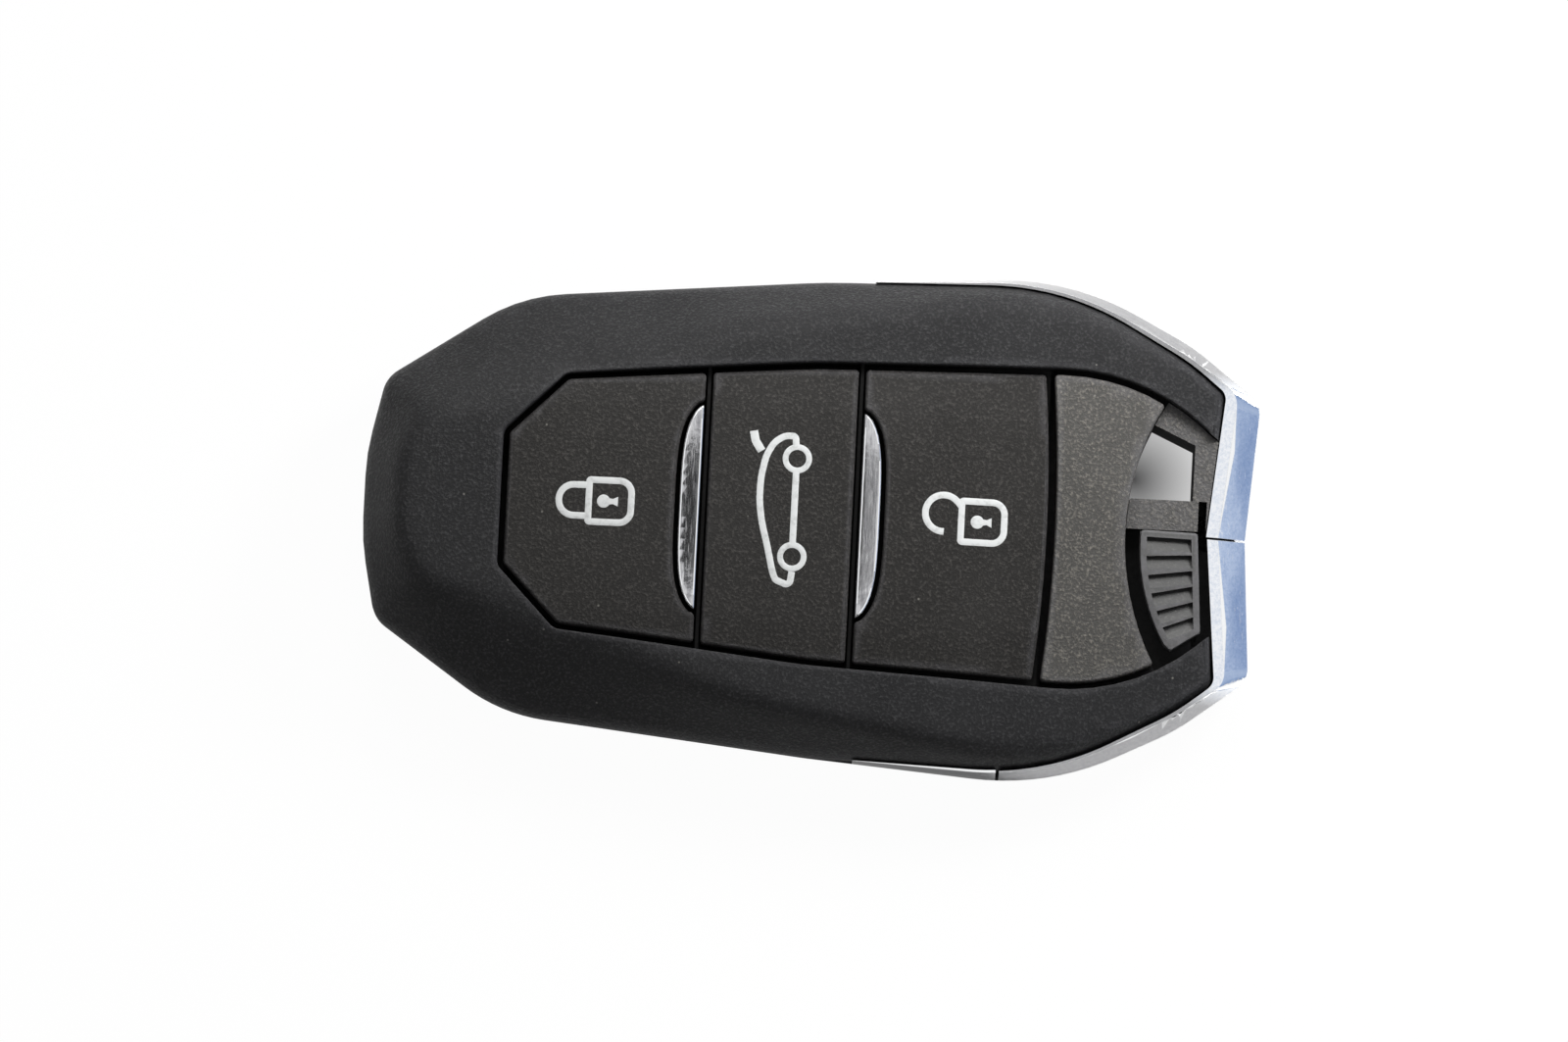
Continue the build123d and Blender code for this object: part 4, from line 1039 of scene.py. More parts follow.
@dataclass(frozen=True)
class PadPrint:
    """White two-part ink laid on the buttons by a soft pad."""

    name: str
    ink: str
    worn: str
    rub: float = 0.8
    depth: float = 0.006

    def material(self) -> bpy.types.Material:
        """Flat white ink, thinned a little where thumbs rub it.

        Returns:
            The material.
        """
        material, tree, place = new_material(self.name)
        rub = add(tree, "ShaderNodeTexNoise", {}, {
            "Vector": place, "Scale": per_mm(self.rub), "Detail": 5.0, "Roughness": 0.7})
        tone = add(tree, "ShaderNodeValToRGB", {}, {"Fac": rub.outputs["Fac"]},
                   [(0.28, linear(self.worn)), (0.5, linear(self.ink))])
        bump = add(tree, "ShaderNodeBump", {}, {
            "Height": rub.outputs["Fac"], "Strength": 0.5, "Distance": self.depth * MM})
        shader = add(tree, "ShaderNodeBsdfPrincipled", {}, {
            "Base Color": tone.outputs["Color"], "Roughness": 0.55,
            "Normal": bump.outputs["Normal"], "IOR": 1.5})
        add(tree, "ShaderNodeOutputMaterial", {}, {"Surface": shader.outputs["BSDF"]})
        return material


@dataclass(frozen=True)
class Metal:
    """Rolled, ground or drawn metal, with lines the way it was worked."""

    name: str
    light: str
    dark: str
    roughness: float
    line: float
    along: tuple[float, float, float] = (1.0, 1.0, 1.0)
    depth: float = 0.006

    def material(self) -> bpy.types.Material:
        """Metal whose tone and gloss vary along its working lines.

        Returns:
            The material.
        """
        material, tree, place = new_material(self.name)
        drawn = add(tree, "ShaderNodeMapping", {}, {"Vector": place, "Scale": self.along})
        lines = add(tree, "ShaderNodeTexNoise", {}, {
            "Vector": drawn.outputs["Vector"], "Scale": per_mm(self.line), "Detail": 4.0,
            "Roughness": 0.6})
        tone = add(tree, "ShaderNodeValToRGB", {}, {"Fac": lines.outputs["Fac"]},
                   [(0.3, linear(self.dark)), (0.7, linear(self.light))])
        bump = add(tree, "ShaderNodeBump", {}, {
            "Height": lines.outputs["Fac"], "Strength": 0.7, "Distance": self.depth * MM})
        rough = add(tree, "ShaderNodeMapRange", {}, {
            "Value": lines.outputs["Fac"], "To Min": self.roughness - 0.06,
            "To Max": self.roughness + 0.1})
        shader = add(tree, "ShaderNodeBsdfPrincipled", {}, {
            "Base Color": tone.outputs["Color"], "Metallic": 1.0,
            "Roughness": rough.outputs["Result"], "Normal": bump.outputs["Normal"]})
        add(tree, "ShaderNodeOutputMaterial", {}, {"Surface": shader.outputs["BSDF"]})
        return material


@dataclass(frozen=True)
class SolderMask:
    """Green solder mask over copper tracks on glass-fibre board."""

    name: str = "solder_mask_on_glass_fibre"
    mask: str = "#0f4a2a"
    over_copper: str = "#1c6b3c"
    track: float = 1.1
    foil: float = 0.02

    def material(self) -> bpy.types.Material:
        """Two greens, the lighter one where a copper track lies under the mask.

        Returns:
            The material.
        """
        material, tree, place = new_material(self.name)
        tracks = add(tree, "ShaderNodeTexVoronoi", {"feature": "DISTANCE_TO_EDGE",
                                                    "distance": "EUCLIDEAN"}, {
            "Vector": place, "Scale": per_mm(self.track * 2), "Randomness": 0.6})
        wide = add(tree, "ShaderNodeMath", {"operation": "LESS_THAN"}, {
            0: tracks.outputs["Distance"], 1: 0.12})
        tone = add(tree, "ShaderNodeMix", {"data_type": "RGBA"}, {
            SHARE: wide.outputs["Value"], FIRST: linear(self.mask),
            SECOND: linear(self.over_copper)})
        bump = add(tree, "ShaderNodeBump", {}, {
            "Height": wide.outputs["Value"], "Strength": 0.6, "Distance": self.foil * MM})
        shader = add(tree, "ShaderNodeBsdfPrincipled", {}, {
            "Base Color": tone.outputs[MIXED], "Roughness": 0.32,
            "Normal": bump.outputs["Normal"], "IOR": 1.5})
        add(tree, "ShaderNodeOutputMaterial", {}, {"Surface": shader.outputs["BSDF"]})
        return material


class Finishes:
    """Every finish of the key, each made once."""

    def __init__(self) -> None:
        """Makes the materials."""
        # Soft-touch casing plastic: matt, almost no gloss, pale where it is rubbed
        self.shell = MouldedPlastic("soft_touch_moulded_plastic", "#1e1e1f", "#252526",
                                    grain=0.26, grain_depth=0.09, roughness=0.5, gloss=0.2,
                                    grain_glint="#424243", grain_glint_share=0.8, edge_share=0.12).material()
        # Button caps: the same plastic with a slightly coarser grain and more dust in it
        self.button = MouldedPlastic("matt_moulded_button_plastic", "#222120", "#292827",
                                     grain=0.27, grain_depth=0.1, roughness=0.52, gloss=0.2,
                                     grain_glint="#484644", grain_glint_share=0.8, dust_share=0.55,
                                     edge_share=0.2).material()
        # Tail panel and deck: a coarse spark-eroded texture with painted glints on its points; its
        # tone, lighter than the casing's, is partly its own and partly a painted sheen of the light
        # at the tail end
        self.panel = MouldedPlastic("spark_eroded_moulded_plastic", "#3c3b39", "#464543",
                                    grain=0.27, grain_depth=0.11, roughness=0.44, gloss=0.35,
                                    grain_glint="#7c7871", grain_glint_share=0.75, edge_share=0.25).material()
        # Release: the panel's plastic with a shallower texture, lighter still, also partly a
        # painted sheen of the light at the tail end
        self.release = MouldedPlastic("fine_textured_moulded_plastic", "#484848", "#515150",
                                      grain=0.28, grain_depth=0.045, roughness=0.45, gloss=0.3,
                                      grain_glint="#646362", edge_share=0.35).material()
        # Chassis, keypad rim and key head: glass-filled plastic, painted near-black so that the
        # gaps between the caps and the walls round them read as shaded
        self.frame = MouldedPlastic("shade_black_glass_filled_plastic", "#070707", "#0c0c0c",
                                    grain=0.5, grain_depth=0.04, roughness=0.55, gloss=0.2,
                                    grain_glint="#141414", dust_share=0.15,
                                    edge_share=0.1).material()
        # Casing end: decorative chromium plate with fine pocket scratches; its end is painted a
        # brighter, faintly bluish tone and its long sides a darker grey, as reflections
        self.chrome = PlatedChrome("chromium_plated_plastic", "#eef0f4", "#d6dde8",
                                   side_shade_bright="#a2a2a4", side_shade_dull="#969698",
                                   wave_depth=0.024, roughness=0.07).material()
        # Strips: the same plate, brushed dull along its length by thumbs, with the same painted
        # highlights on its edge crests
        self.strip = PlatedChrome("chromium_plated_strip", "#cbcbcd", "#939397",
                                  side_shade_bright="#cbcbcd", side_shade_dull="#939397", drawn=0.06,
                                  roughness=0.13, scratch_angles=(6.0, -7.0)).material()
        # Symbols: pad-printed ink, a soft greyish white
        self.ink = PadPrint("white_pad_print", "#c9cbcb", "#a9abab").material()
        # Emergency blade and rivet: ground steel under nickel
        self.blade = Metal("ground_nickel_plated_steel", "#c4c3bf", "#8d8c88", roughness=0.28,
                           line=0.5, along=(0.06, 1.0, 1.0)).material()
        # Return spring: drawn stainless wire, bright grey
        self.spring = Metal("drawn_stainless_wire", "#c9c9c9", "#8b8b8b", roughness=0.3,
                            line=0.2).material()
        # Contacts, aerial and switch tops: rolled strip under a gold flash
        self.gold = Metal("gold_flashed_strip", "#d8b465", "#a8843c", roughness=0.3,
                          line=0.6).material()
        # Battery and crystal: pressed nickel-plated steel, faintly clouded
        self.can = Metal("pressed_nickel_plated_steel", "#cfcecb", "#a3a29e", roughness=0.25,
                         line=1.5).material()
        # Wake coil: enamelled copper wire over a ferrite block, its turns side by side
        self.winding = Metal("enamelled_copper_winding", "#7a3d1c", "#3c1c0d", roughness=0.4,
                             line=0.25, along=(1.0, 0.1, 1.0)).material()
        # Keypad mat: matt silicone rubber
        self.rubber = MouldedPlastic("moulded_silicone_rubber", "#0b0b0b", "#111111",
                                     grain=0.6, grain_depth=0.015, roughness=0.75, gloss=0.2,
                                     grain_glint="#181818", edge_share=0.1).material()
        # Chips: moulded epoxy, dark and finely pitted
        self.epoxy = MouldedPlastic("moulded_epoxy", "#141415", "#1e1e1f", grain=0.15,
                                    grain_depth=0.012, roughness=0.5, edge_share=0.15,
                                    dust_share=0.0).material()
        # Resistors and capacitors: fired ceramic with a satin face
        self.ceramic = MouldedPlastic("fired_ceramic", "#8f7a5c", "#a8936f", grain=0.3,
                                      grain_depth=0.008, roughness=0.4, edge="#c9c7c2",
                                      dust_share=0.0).material()
        # Circuit board: solder mask, lighter over its copper tracks
        self.board = SolderMask().material()


# Sub-assemblies


@dataclass
class Casing:
    """The soft black front shell with its horseshoe round the buttons."""

    plan: Plan
    datum: float = 12.0
    edge_round: float = 0.7
    lip_round: float = 0.25
    edge_clearance: float = 0.02
    lift_margin: float = 0.5
    slice_pitch: float = 1.6

    def outer_path(self) -> list[Point]:
        """The shell's outer edge, from one horn tip round the nose to the other."""
        half = self.plan.shell_edge + [self.plan.horn_tip]
        return sampled(half[::-1] + [(x, -y, r) for x, y, r in half], closed=False)

    def inner_path(self) -> list[Point]:
        """The window's edge, from the lower horn back to the upper one."""
        half = self.plan.window
        return sampled([(x, -y, r) for x, y, r in half[::-1]] + half, closed=False)

    def tuck_horns(self, shell: bpy.types.Object) -> None:
        """Moves the wall's ends that stand in the window back under its edge.

        Args:
            shell: The walled shell, still flat.
        """
        (x1, y1, _), (x2, y2, _) = self.plan.window[-2:]
        places = points_of(shell).astype(float)
        depth = depth_in(self.plan.window_outline(0.0), places[:, :2])
        within = depth > self.edge_clearance
        edge = y2 + (y1 - y2) * (x2 - places[within, 0]) / (x2 - x1)
        places[within, 1] = np.sign(places[within, 1]) * (edge + self.edge_clearance)
        move_points(shell, places)
        LOG.info("horn ends tucked in: %d points", within.sum())

    def build(self, finishes: Finishes) -> None:
        """Makes the shell as a walled skin and raises it onto its sloping form.

        Args:
            finishes: The key's finishes.
        """
        outer, inner = self.outer_path(), self.inner_path()
        rim = {(round(x, 3), round(y, 3)) for x, y in outer}
        is_top = is_rim(self.datum)

        def on_rim(edge: bmesh.types.BMEdge) -> bool:
            """Whether both ends of an edge lie on the shell's outer edge."""
            return all((round(v.co.x, 3), round(v.co.y, 3)) in rim for v in edge.verts)

        shell = flat_face("soft_front_casing", outer + inner, self.datum)
        bottom = self.plan.parting_z + self.plan.seat_gap
        with editing(shell):
            pick_edges(shell, on_rim)
            bpy.ops.mesh.extrude_edges_move(
                TRANSFORM_OT_translate={"value": (0, 0, bottom - self.datum)})
            bpy.ops.mesh.select_all(action="SELECT")
            bpy.ops.mesh.normals_make_consistent(inside=False)
        top = max(shell.data.polygons, key=lambda face: abs(face.normal.z))
        if top.normal.z < 0:
            with editing(shell):
                bpy.ops.mesh.flip_normals()
        apply_modifier(shell, "SOLIDIFY", thickness=self.plan.wall, offset=-1.0,
                       use_even_offset=True, use_rim=True)
        self.tuck_horns(shell)
        round_edges(shell, lambda edge: is_top(edge) and on_rim(edge), self.edge_round, segments=4)
        round_edges(shell, is_top, self.lip_round)
        slice_up(shell, self.slice_pitch)
        apply_modifier(shell, "SUBSURF", subdivision_type="SIMPLE", levels=1, render_levels=1)
        lifted = self.datum - self.plan.wall - self.lift_margin
        raise_onto(shell, self.plan.shell_top, self.datum, lifted, bottom)
        settle(shell, finishes.shell, Body.FOB, ["front_shell"])


@dataclass
class Keypad:
    """Three button caps and the two bright strips between them."""

    plan: Plan
    datum: float = 15.0
    skirt_z: float = 10.5
    gap: float = 0.55
    sink: float = 0.45
    skin: float = 1.2
    edge_round: float = 0.28
    boot_low: float = -9.3
    boot_high: float = 3.85
    separator: float = 0.65
    panel_left: float = 22.3
    panel_bow: float = 0.7
    panel_bow_half: float = 13.8
    panel_gap: float = 0.75
    facet_start: float = 9.6
    facet_slope: float = 0.12
    corner_round: float = 0.35
    facet_round: float = 0.8
    strip_width: float = 1.85
    strip_half: float = 9.3
    strip_gap: float = 0.4
    stand_off: float = 0.35
    strip_sink: float = 0.2
    strip_foot: float = 9.9
    strip_round: float = 0.22
    strip_pieces: int = 28
    strip_power: int = 4
    strip_root: float = 0.625
    strip_lift: float = 1.0
    strip_slice: float = 1.0
    panel_flare: float = 2.5
    plunger_radius: float = 2.6
    plunger_z: float = 10.9
    lock_centre: float = -18.8
    boot_centre: float = -2.7
    unlock_centre: float = 13.2
    lift_margin: float = 0.3
    slice_pitch: float = 1.5

    def cap_top(self, at: np.ndarray) -> np.ndarray:
        """Top of the caps: sunk under the crown, falling away towards both long sides.

        Args:
            at: Points of the plan, one row each.

        Returns:
            The caps' height over each point.
        """
        past = np.abs(at[:, 1]) - self.facet_start
        soft = np.sqrt(past ** 2 + self.facet_round ** 2)
        return self.plan.crown(at) - self.sink - self.facet_slope * (past + soft) / 2

    def strip_top(self, at: np.ndarray) -> np.ndarray:
        """Top of the bright strips."""
        return self.plan.crown(at) - self.strip_sink

    def strip_outline(self, side: Side, grow: float = 0.0) -> list[Point]:
        """A strip's plan: straight beside the boot button, bowed on the other side.

        Args:
            side: Which strip.
            grow: How far the outline stands outside the strip.

        Returns:
            Its points, anticlockwise.
        """
        half, width = self.strip_half + grow, self.strip_width + grow
        edge = self.boot_low if side is Side.LEFT else self.boot_high
        edge += side.value * (self.separator / 2 + self.stand_off)
        shares = [math.cos(math.pi * k / self.strip_pieces) for k in range(self.strip_pieces + 1)]
        line = [(edge + side.value * width * (1 - share ** self.strip_power) ** self.strip_root,
                 half * share) for share in shares]
        return line if side is Side.LEFT else line[::-1]

    def left_of_panel(self, shift: float) -> list[Point]:
        """Outline of what lies to the right of the tail panel's bowed left edge.

        Args:
            shift: How far the edge is moved to the right.

        Returns:
            Points of a closed outline that reaches past the key.
        """
        x, y = self.panel_left + shift, self.panel_bow_half
        arc = bow((x - self.panel_bow, -y), (x, 0), (x - self.panel_bow, y))
        back = x - self.panel_flare
        return [(back, -REACH)] + arc + [(back, REACH), (REACH, REACH), (REACH, -REACH)]

    def cut_block(self, name: str, ends: tuple[float, float], side: Side | None, inset: float,
                  bottom: float, top: float) -> bpy.types.Object:
        """Block of a cap's plan, moved in by inset on every side.

        Args:
            name: The block's name.
            ends: Stations where the cap starts and ends.
            side: The strip that it makes room for, if any.
            inset: How far every side moves in.
            bottom: Height of its underside.
            top: Height of its top.

        Returns:
            The block.
        """
        block = prism(name, self.plan.window_outline(self.gap + inset), bottom, top)
        cut_off(block, 0, ends[0] + inset, above=False)
        cut_off(block, 0, ends[1] - inset, above=True)
        if side:
            notch = self.strip_outline(side, self.strip_gap + inset)
            combine(block, prism("notch", notch, 0, 2 * self.datum), "DIFFERENCE")
        if side is Side.RIGHT:
            panel = self.left_of_panel(-self.panel_gap - inset)
            combine(block, prism("edge", panel, 0, 2 * self.datum), "DIFFERENCE")
        return block

    def cap(self, name: str, ends: tuple[float, float], side: Side | None,
            centre: float) -> bpy.types.Object:
        """A hollow cap between two stations, less what passes beside it.

        Args:
            name: The piece's name.
            ends: Stations where the cap starts and ends.
            side: The strip that it makes room for, if any.
            centre: Where the plunger under the cap stands.

        Returns:
            The cap, raised onto its curved face.
        """
        cap = self.cut_block(name, ends, side, 0.0, self.skirt_z, self.datum)
        cap = rebuilt(cap, self.skirt_z, self.datum, self.corner_round)
        round_edges(cap, is_rim(self.datum), self.edge_round)
        ceiling = self.datum - self.skin
        combine(cap, self.cut_block("hollow", ends, side, self.skin, 0.0, ceiling), "DIFFERENCE")
        slice_up(cap, self.slice_pitch)
        apply_modifier(cap, "SUBSURF", subdivision_type="SIMPLE", levels=1, render_levels=1)
        raise_onto(cap, self.cap_top, self.datum, ceiling - self.lift_margin, self.skirt_z)
        top = float(self.cap_top(np.array([[centre, 0.0]]))[0]) - self.skin / 2
        deselect()
        bpy.ops.mesh.primitive_cylinder_add(
            vertices=32, radius=self.plunger_radius, depth=top - self.plunger_z,
            location=(centre, 0, (top + self.plunger_z) / 2))
        combine(cap, bpy.context.object, "UNION")
        return cap

    def strip(self, side: Side, finishes: Finishes) -> None:
        """Makes one bright strip.

        Args:
            side: Which side of the boot button it stands on.
            finishes: The key's finishes.
        """
        word = side.name.lower()
        strip = prism(f"bright_strip_{word}", self.strip_outline(side), self.strip_foot, self.datum)
        round_edges(strip, is_rim(self.datum), self.strip_round)
        slice_up(strip, self.strip_slice)
        raise_onto(strip, self.strip_top, self.datum, self.datum - self.strip_lift, self.strip_foot)
        settle(strip, finishes.strip, Body.FOB, [f"{word}_trim_strip"])

    def build(self, finishes: Finishes) -> None:
        """Makes the caps and the strips.

        Args:
            finishes: The key's finishes.
        """
        lock_end = self.boot_low - self.separator
        unlock_start = self.boot_high + self.separator
        caps = [("lock", Body.LOCK, (-REACH, lock_end), Side.LEFT, self.lock_centre),
                ("boot", Body.BOOT, (self.boot_low, self.boot_high), None, self.boot_centre),
                ("unlock", Body.UNLOCK, (unlock_start, REACH), Side.RIGHT, self.unlock_centre)]
        for word, body, ends, side, centre in caps:
            cap = self.cap(f"{word}_button_cap", ends, side, centre)
            settle(cap, finishes.button, body, [f"{word}_button"])
        for side in Side:
            self.strip(side, finishes)


@dataclass
class TailEnd:
    """Textured panel beside the unlock button, the ribbed release and its return spring."""

    plan: Plan
    keypad: Keypad
    datum: float = 14.0
    panel_sink: float = 0.4
    panel_floor: float = 6.4
    panel_skin: float = 1.3
    panel_round: float = 0.3
    panel_slice: float = 1.2
    right_x: float = 28.7
    right_bow: float = 3.0
    right_half: float = 11.6
    right_flare: Point = (12.0, 20.0)
    release_from_end: float = 5.2
    release_top_y: float = 0.3
    release_foot_y: float = -10.5
    release_floor: float = 8.4
    release_sink: float = 0.1
    release_round: float = 0.18
    release_lift: float = 2.0
    release_slice: float = 1.0
    stem_overlap: float = 0.3
    rib_frame: float = 0.6
    ribs: int = 6
    rib_pitch: float = 1.4
    rib_share: float = 0.85
    rib_depth: float = 0.75
    rib_crest: float = 0.1
    rib_fan: float = 22.0
    cut_half: float = 8.0
    cut_above: float = 2.0
    cut_clearance: float = 0.01
    spring_fixed_y: float = -0.8
    travel: float = 2.5

    def right_of_panel(self, shift: float) -> list[Point]:
        """Outline of what lies past the tail panel's hollow right edge.

        Args:
            shift: How far the edge is moved to the right.

        Returns:
            Points of a closed outline that reaches past the key.
        """
        x, y, out = self.right_x + shift, self.right_half, self.right_bow
        arc = bow((x + out, -y), (x, 0), (x + out, y))
        flared_x, flared_y = x + out + self.right_flare[0], y + self.right_flare[1]
        return ([(flared_x, -flared_y)] + arc
                + [(flared_x, flared_y), (REACH, flared_y), (REACH, -flared_y)])

    def panel_top(self, at: np.ndarray) -> np.ndarray:
        """Top of the tail panel."""
        return self.plan.crown(at) - self.panel_sink

    def release_top(self, at: np.ndarray) -> np.ndarray:
        """Top of the ribbed release."""
        return self.plan.crown(at) - self.release_sink

    def panel_block(self, name: str, inset: float, low: float, top: float) -> bpy.types.Object:
        """Block of the tail panel's plan.

        Args:
            name: The block's name.
            inset: How far every side moves in.
            low: Height of its underside.
            top: Height of its top.

        Returns:
            The block.
        """
        block = prism(name, self.plan.window_outline(self.keypad.gap + inset), low, top)
        keep = prism("keep", self.keypad.left_of_panel(inset), 0, 2 * self.datum)
        combine(block, keep, "INTERSECT")
        combine(block, prism("cut", self.right_of_panel(-inset), 0, 2 * self.datum), "DIFFERENCE")
        return block

    def build_panel(self, finishes: Finishes) -> None:
        """Makes the tail panel as a hollow cap.

        Args:
            finishes: The key's finishes.
        """
        panel = self.panel_block("textured_tail_panel", 0.0, self.panel_floor, self.datum)
        panel = rebuilt(panel, self.panel_floor, self.datum, self.keypad.corner_round)
        round_edges(panel, is_rim(self.datum), self.panel_round)
        ceiling = self.datum - self.panel_skin
        combine(panel, self.panel_block("hollow", self.panel_skin, 0.0, ceiling), "DIFFERENCE")
        slice_up(panel, self.panel_slice)
        lifted = ceiling - self.keypad.lift_margin
        raise_onto(panel, self.panel_top, self.datum, lifted, self.panel_floor)
        settle(panel, finishes.panel, Body.FOB, ["tail_panel"])

    def release_outline(self) -> list[Point]:
        """The release's plan: bowed on the left, straight on the right, a slanted foot.

        Returns:
            Its points, anticlockwise.
        """
        end = self.plan.half_length - self.release_from_end
        top, foot = self.release_top_y, self.release_foot_y
        left = bow((end - 5.2, top), (end - 4.65, foot / 2), (end - 2.6, foot + 0.5), 12)
        return left + [(end - 2.0, foot), (end + 0.65, foot + 1.8), (end, top)]

    def rib_cut(self, number: int) -> bpy.types.Object:
        """One saw-tooth cut across the release, turned to follow its taper.

        Args:
            number: Which cut, from 0 at the top.

        Returns:
            The solid that is cut away.
        """
        end = self.plan.half_length - self.release_from_end
        start = self.release_top_y - self.rib_frame - self.cut_clearance - number * self.rib_pitch
        stop = start - self.rib_pitch * self.rib_share
        above = self.datum + self.cut_above
        tooth = [(start, self.datum - self.rib_depth), (start, above), (stop, above),
                 (stop, self.datum - self.rib_crest)]
        cut = prism("tooth", tooth, -self.cut_half, self.cut_half)
        turn = math.radians(self.rib_fan * number / (self.ribs - 1))
        upright = Matrix(((0, 0, 1, 0), (1, 0, 0, 0), (0, 1, 0, 0), (0, 0, 0, 1)))
        hinge = Matrix.Translation((end, start, 0))
        place = hinge @ Matrix.Rotation(turn, 4, "Z") @ Matrix.Translation((0, -start, 0)) @ upright
        cut.data.transform(place)
        return cut

    def build_release(self, finishes: Finishes) -> None:
        """Makes the ribbed release with its fanned saw-tooth steps.

        Args:
            finishes: The key's finishes.
        """
        outline = self.release_outline()
        release = prism("ribbed_release", cleaned(outline, self.keypad.corner_round),
                        self.release_floor, self.datum)
        inner = moved_in([(x, y, 0.0) for x, y in outline], self.rib_frame)
        field_area = [(x, y) for x, y, _ in inner]
        round_edges(release, is_rim(self.datum), self.release_round, segments=2)
        for number in range(self.ribs):
            cut = self.rib_cut(number)
            combine(cut, prism("field", field_area, 0, 3 * self.datum), "INTERSECT")
            combine(release, cut, "DIFFERENCE")
        slice_up(release, self.release_slice)
        stem = node_copy("release_slider", "stem")
        cut_off(stem, 2, self.release_floor + self.stem_overlap, above=True)
        lifted = self.datum - self.release_lift
        raise_onto(release, self.release_top, self.datum, lifted, self.release_floor)
        combine(release, stem, "UNION")
        settle(release, finishes.release, Body.RELEASE, ["release_slider"])

    def build_spring(self, finishes: Finishes) -> None:
        """Copies the return spring and gives it a mesh of its own.

        Args:
            finishes: The key's finishes.
        """
        spring = node_copy("slider_spring", "return_spring")
        settle(spring, finishes.spring, Body.FOB, ["slider_spring"], smooth=50)
        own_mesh(spring)

    def build(self, finishes: Finishes) -> None:
        """Makes the panel, the release and its spring.

        Args:
            finishes: The key's finishes.
        """
        self.build_panel(finishes)
        self.build_release(finishes)
        self.build_spring(finishes)


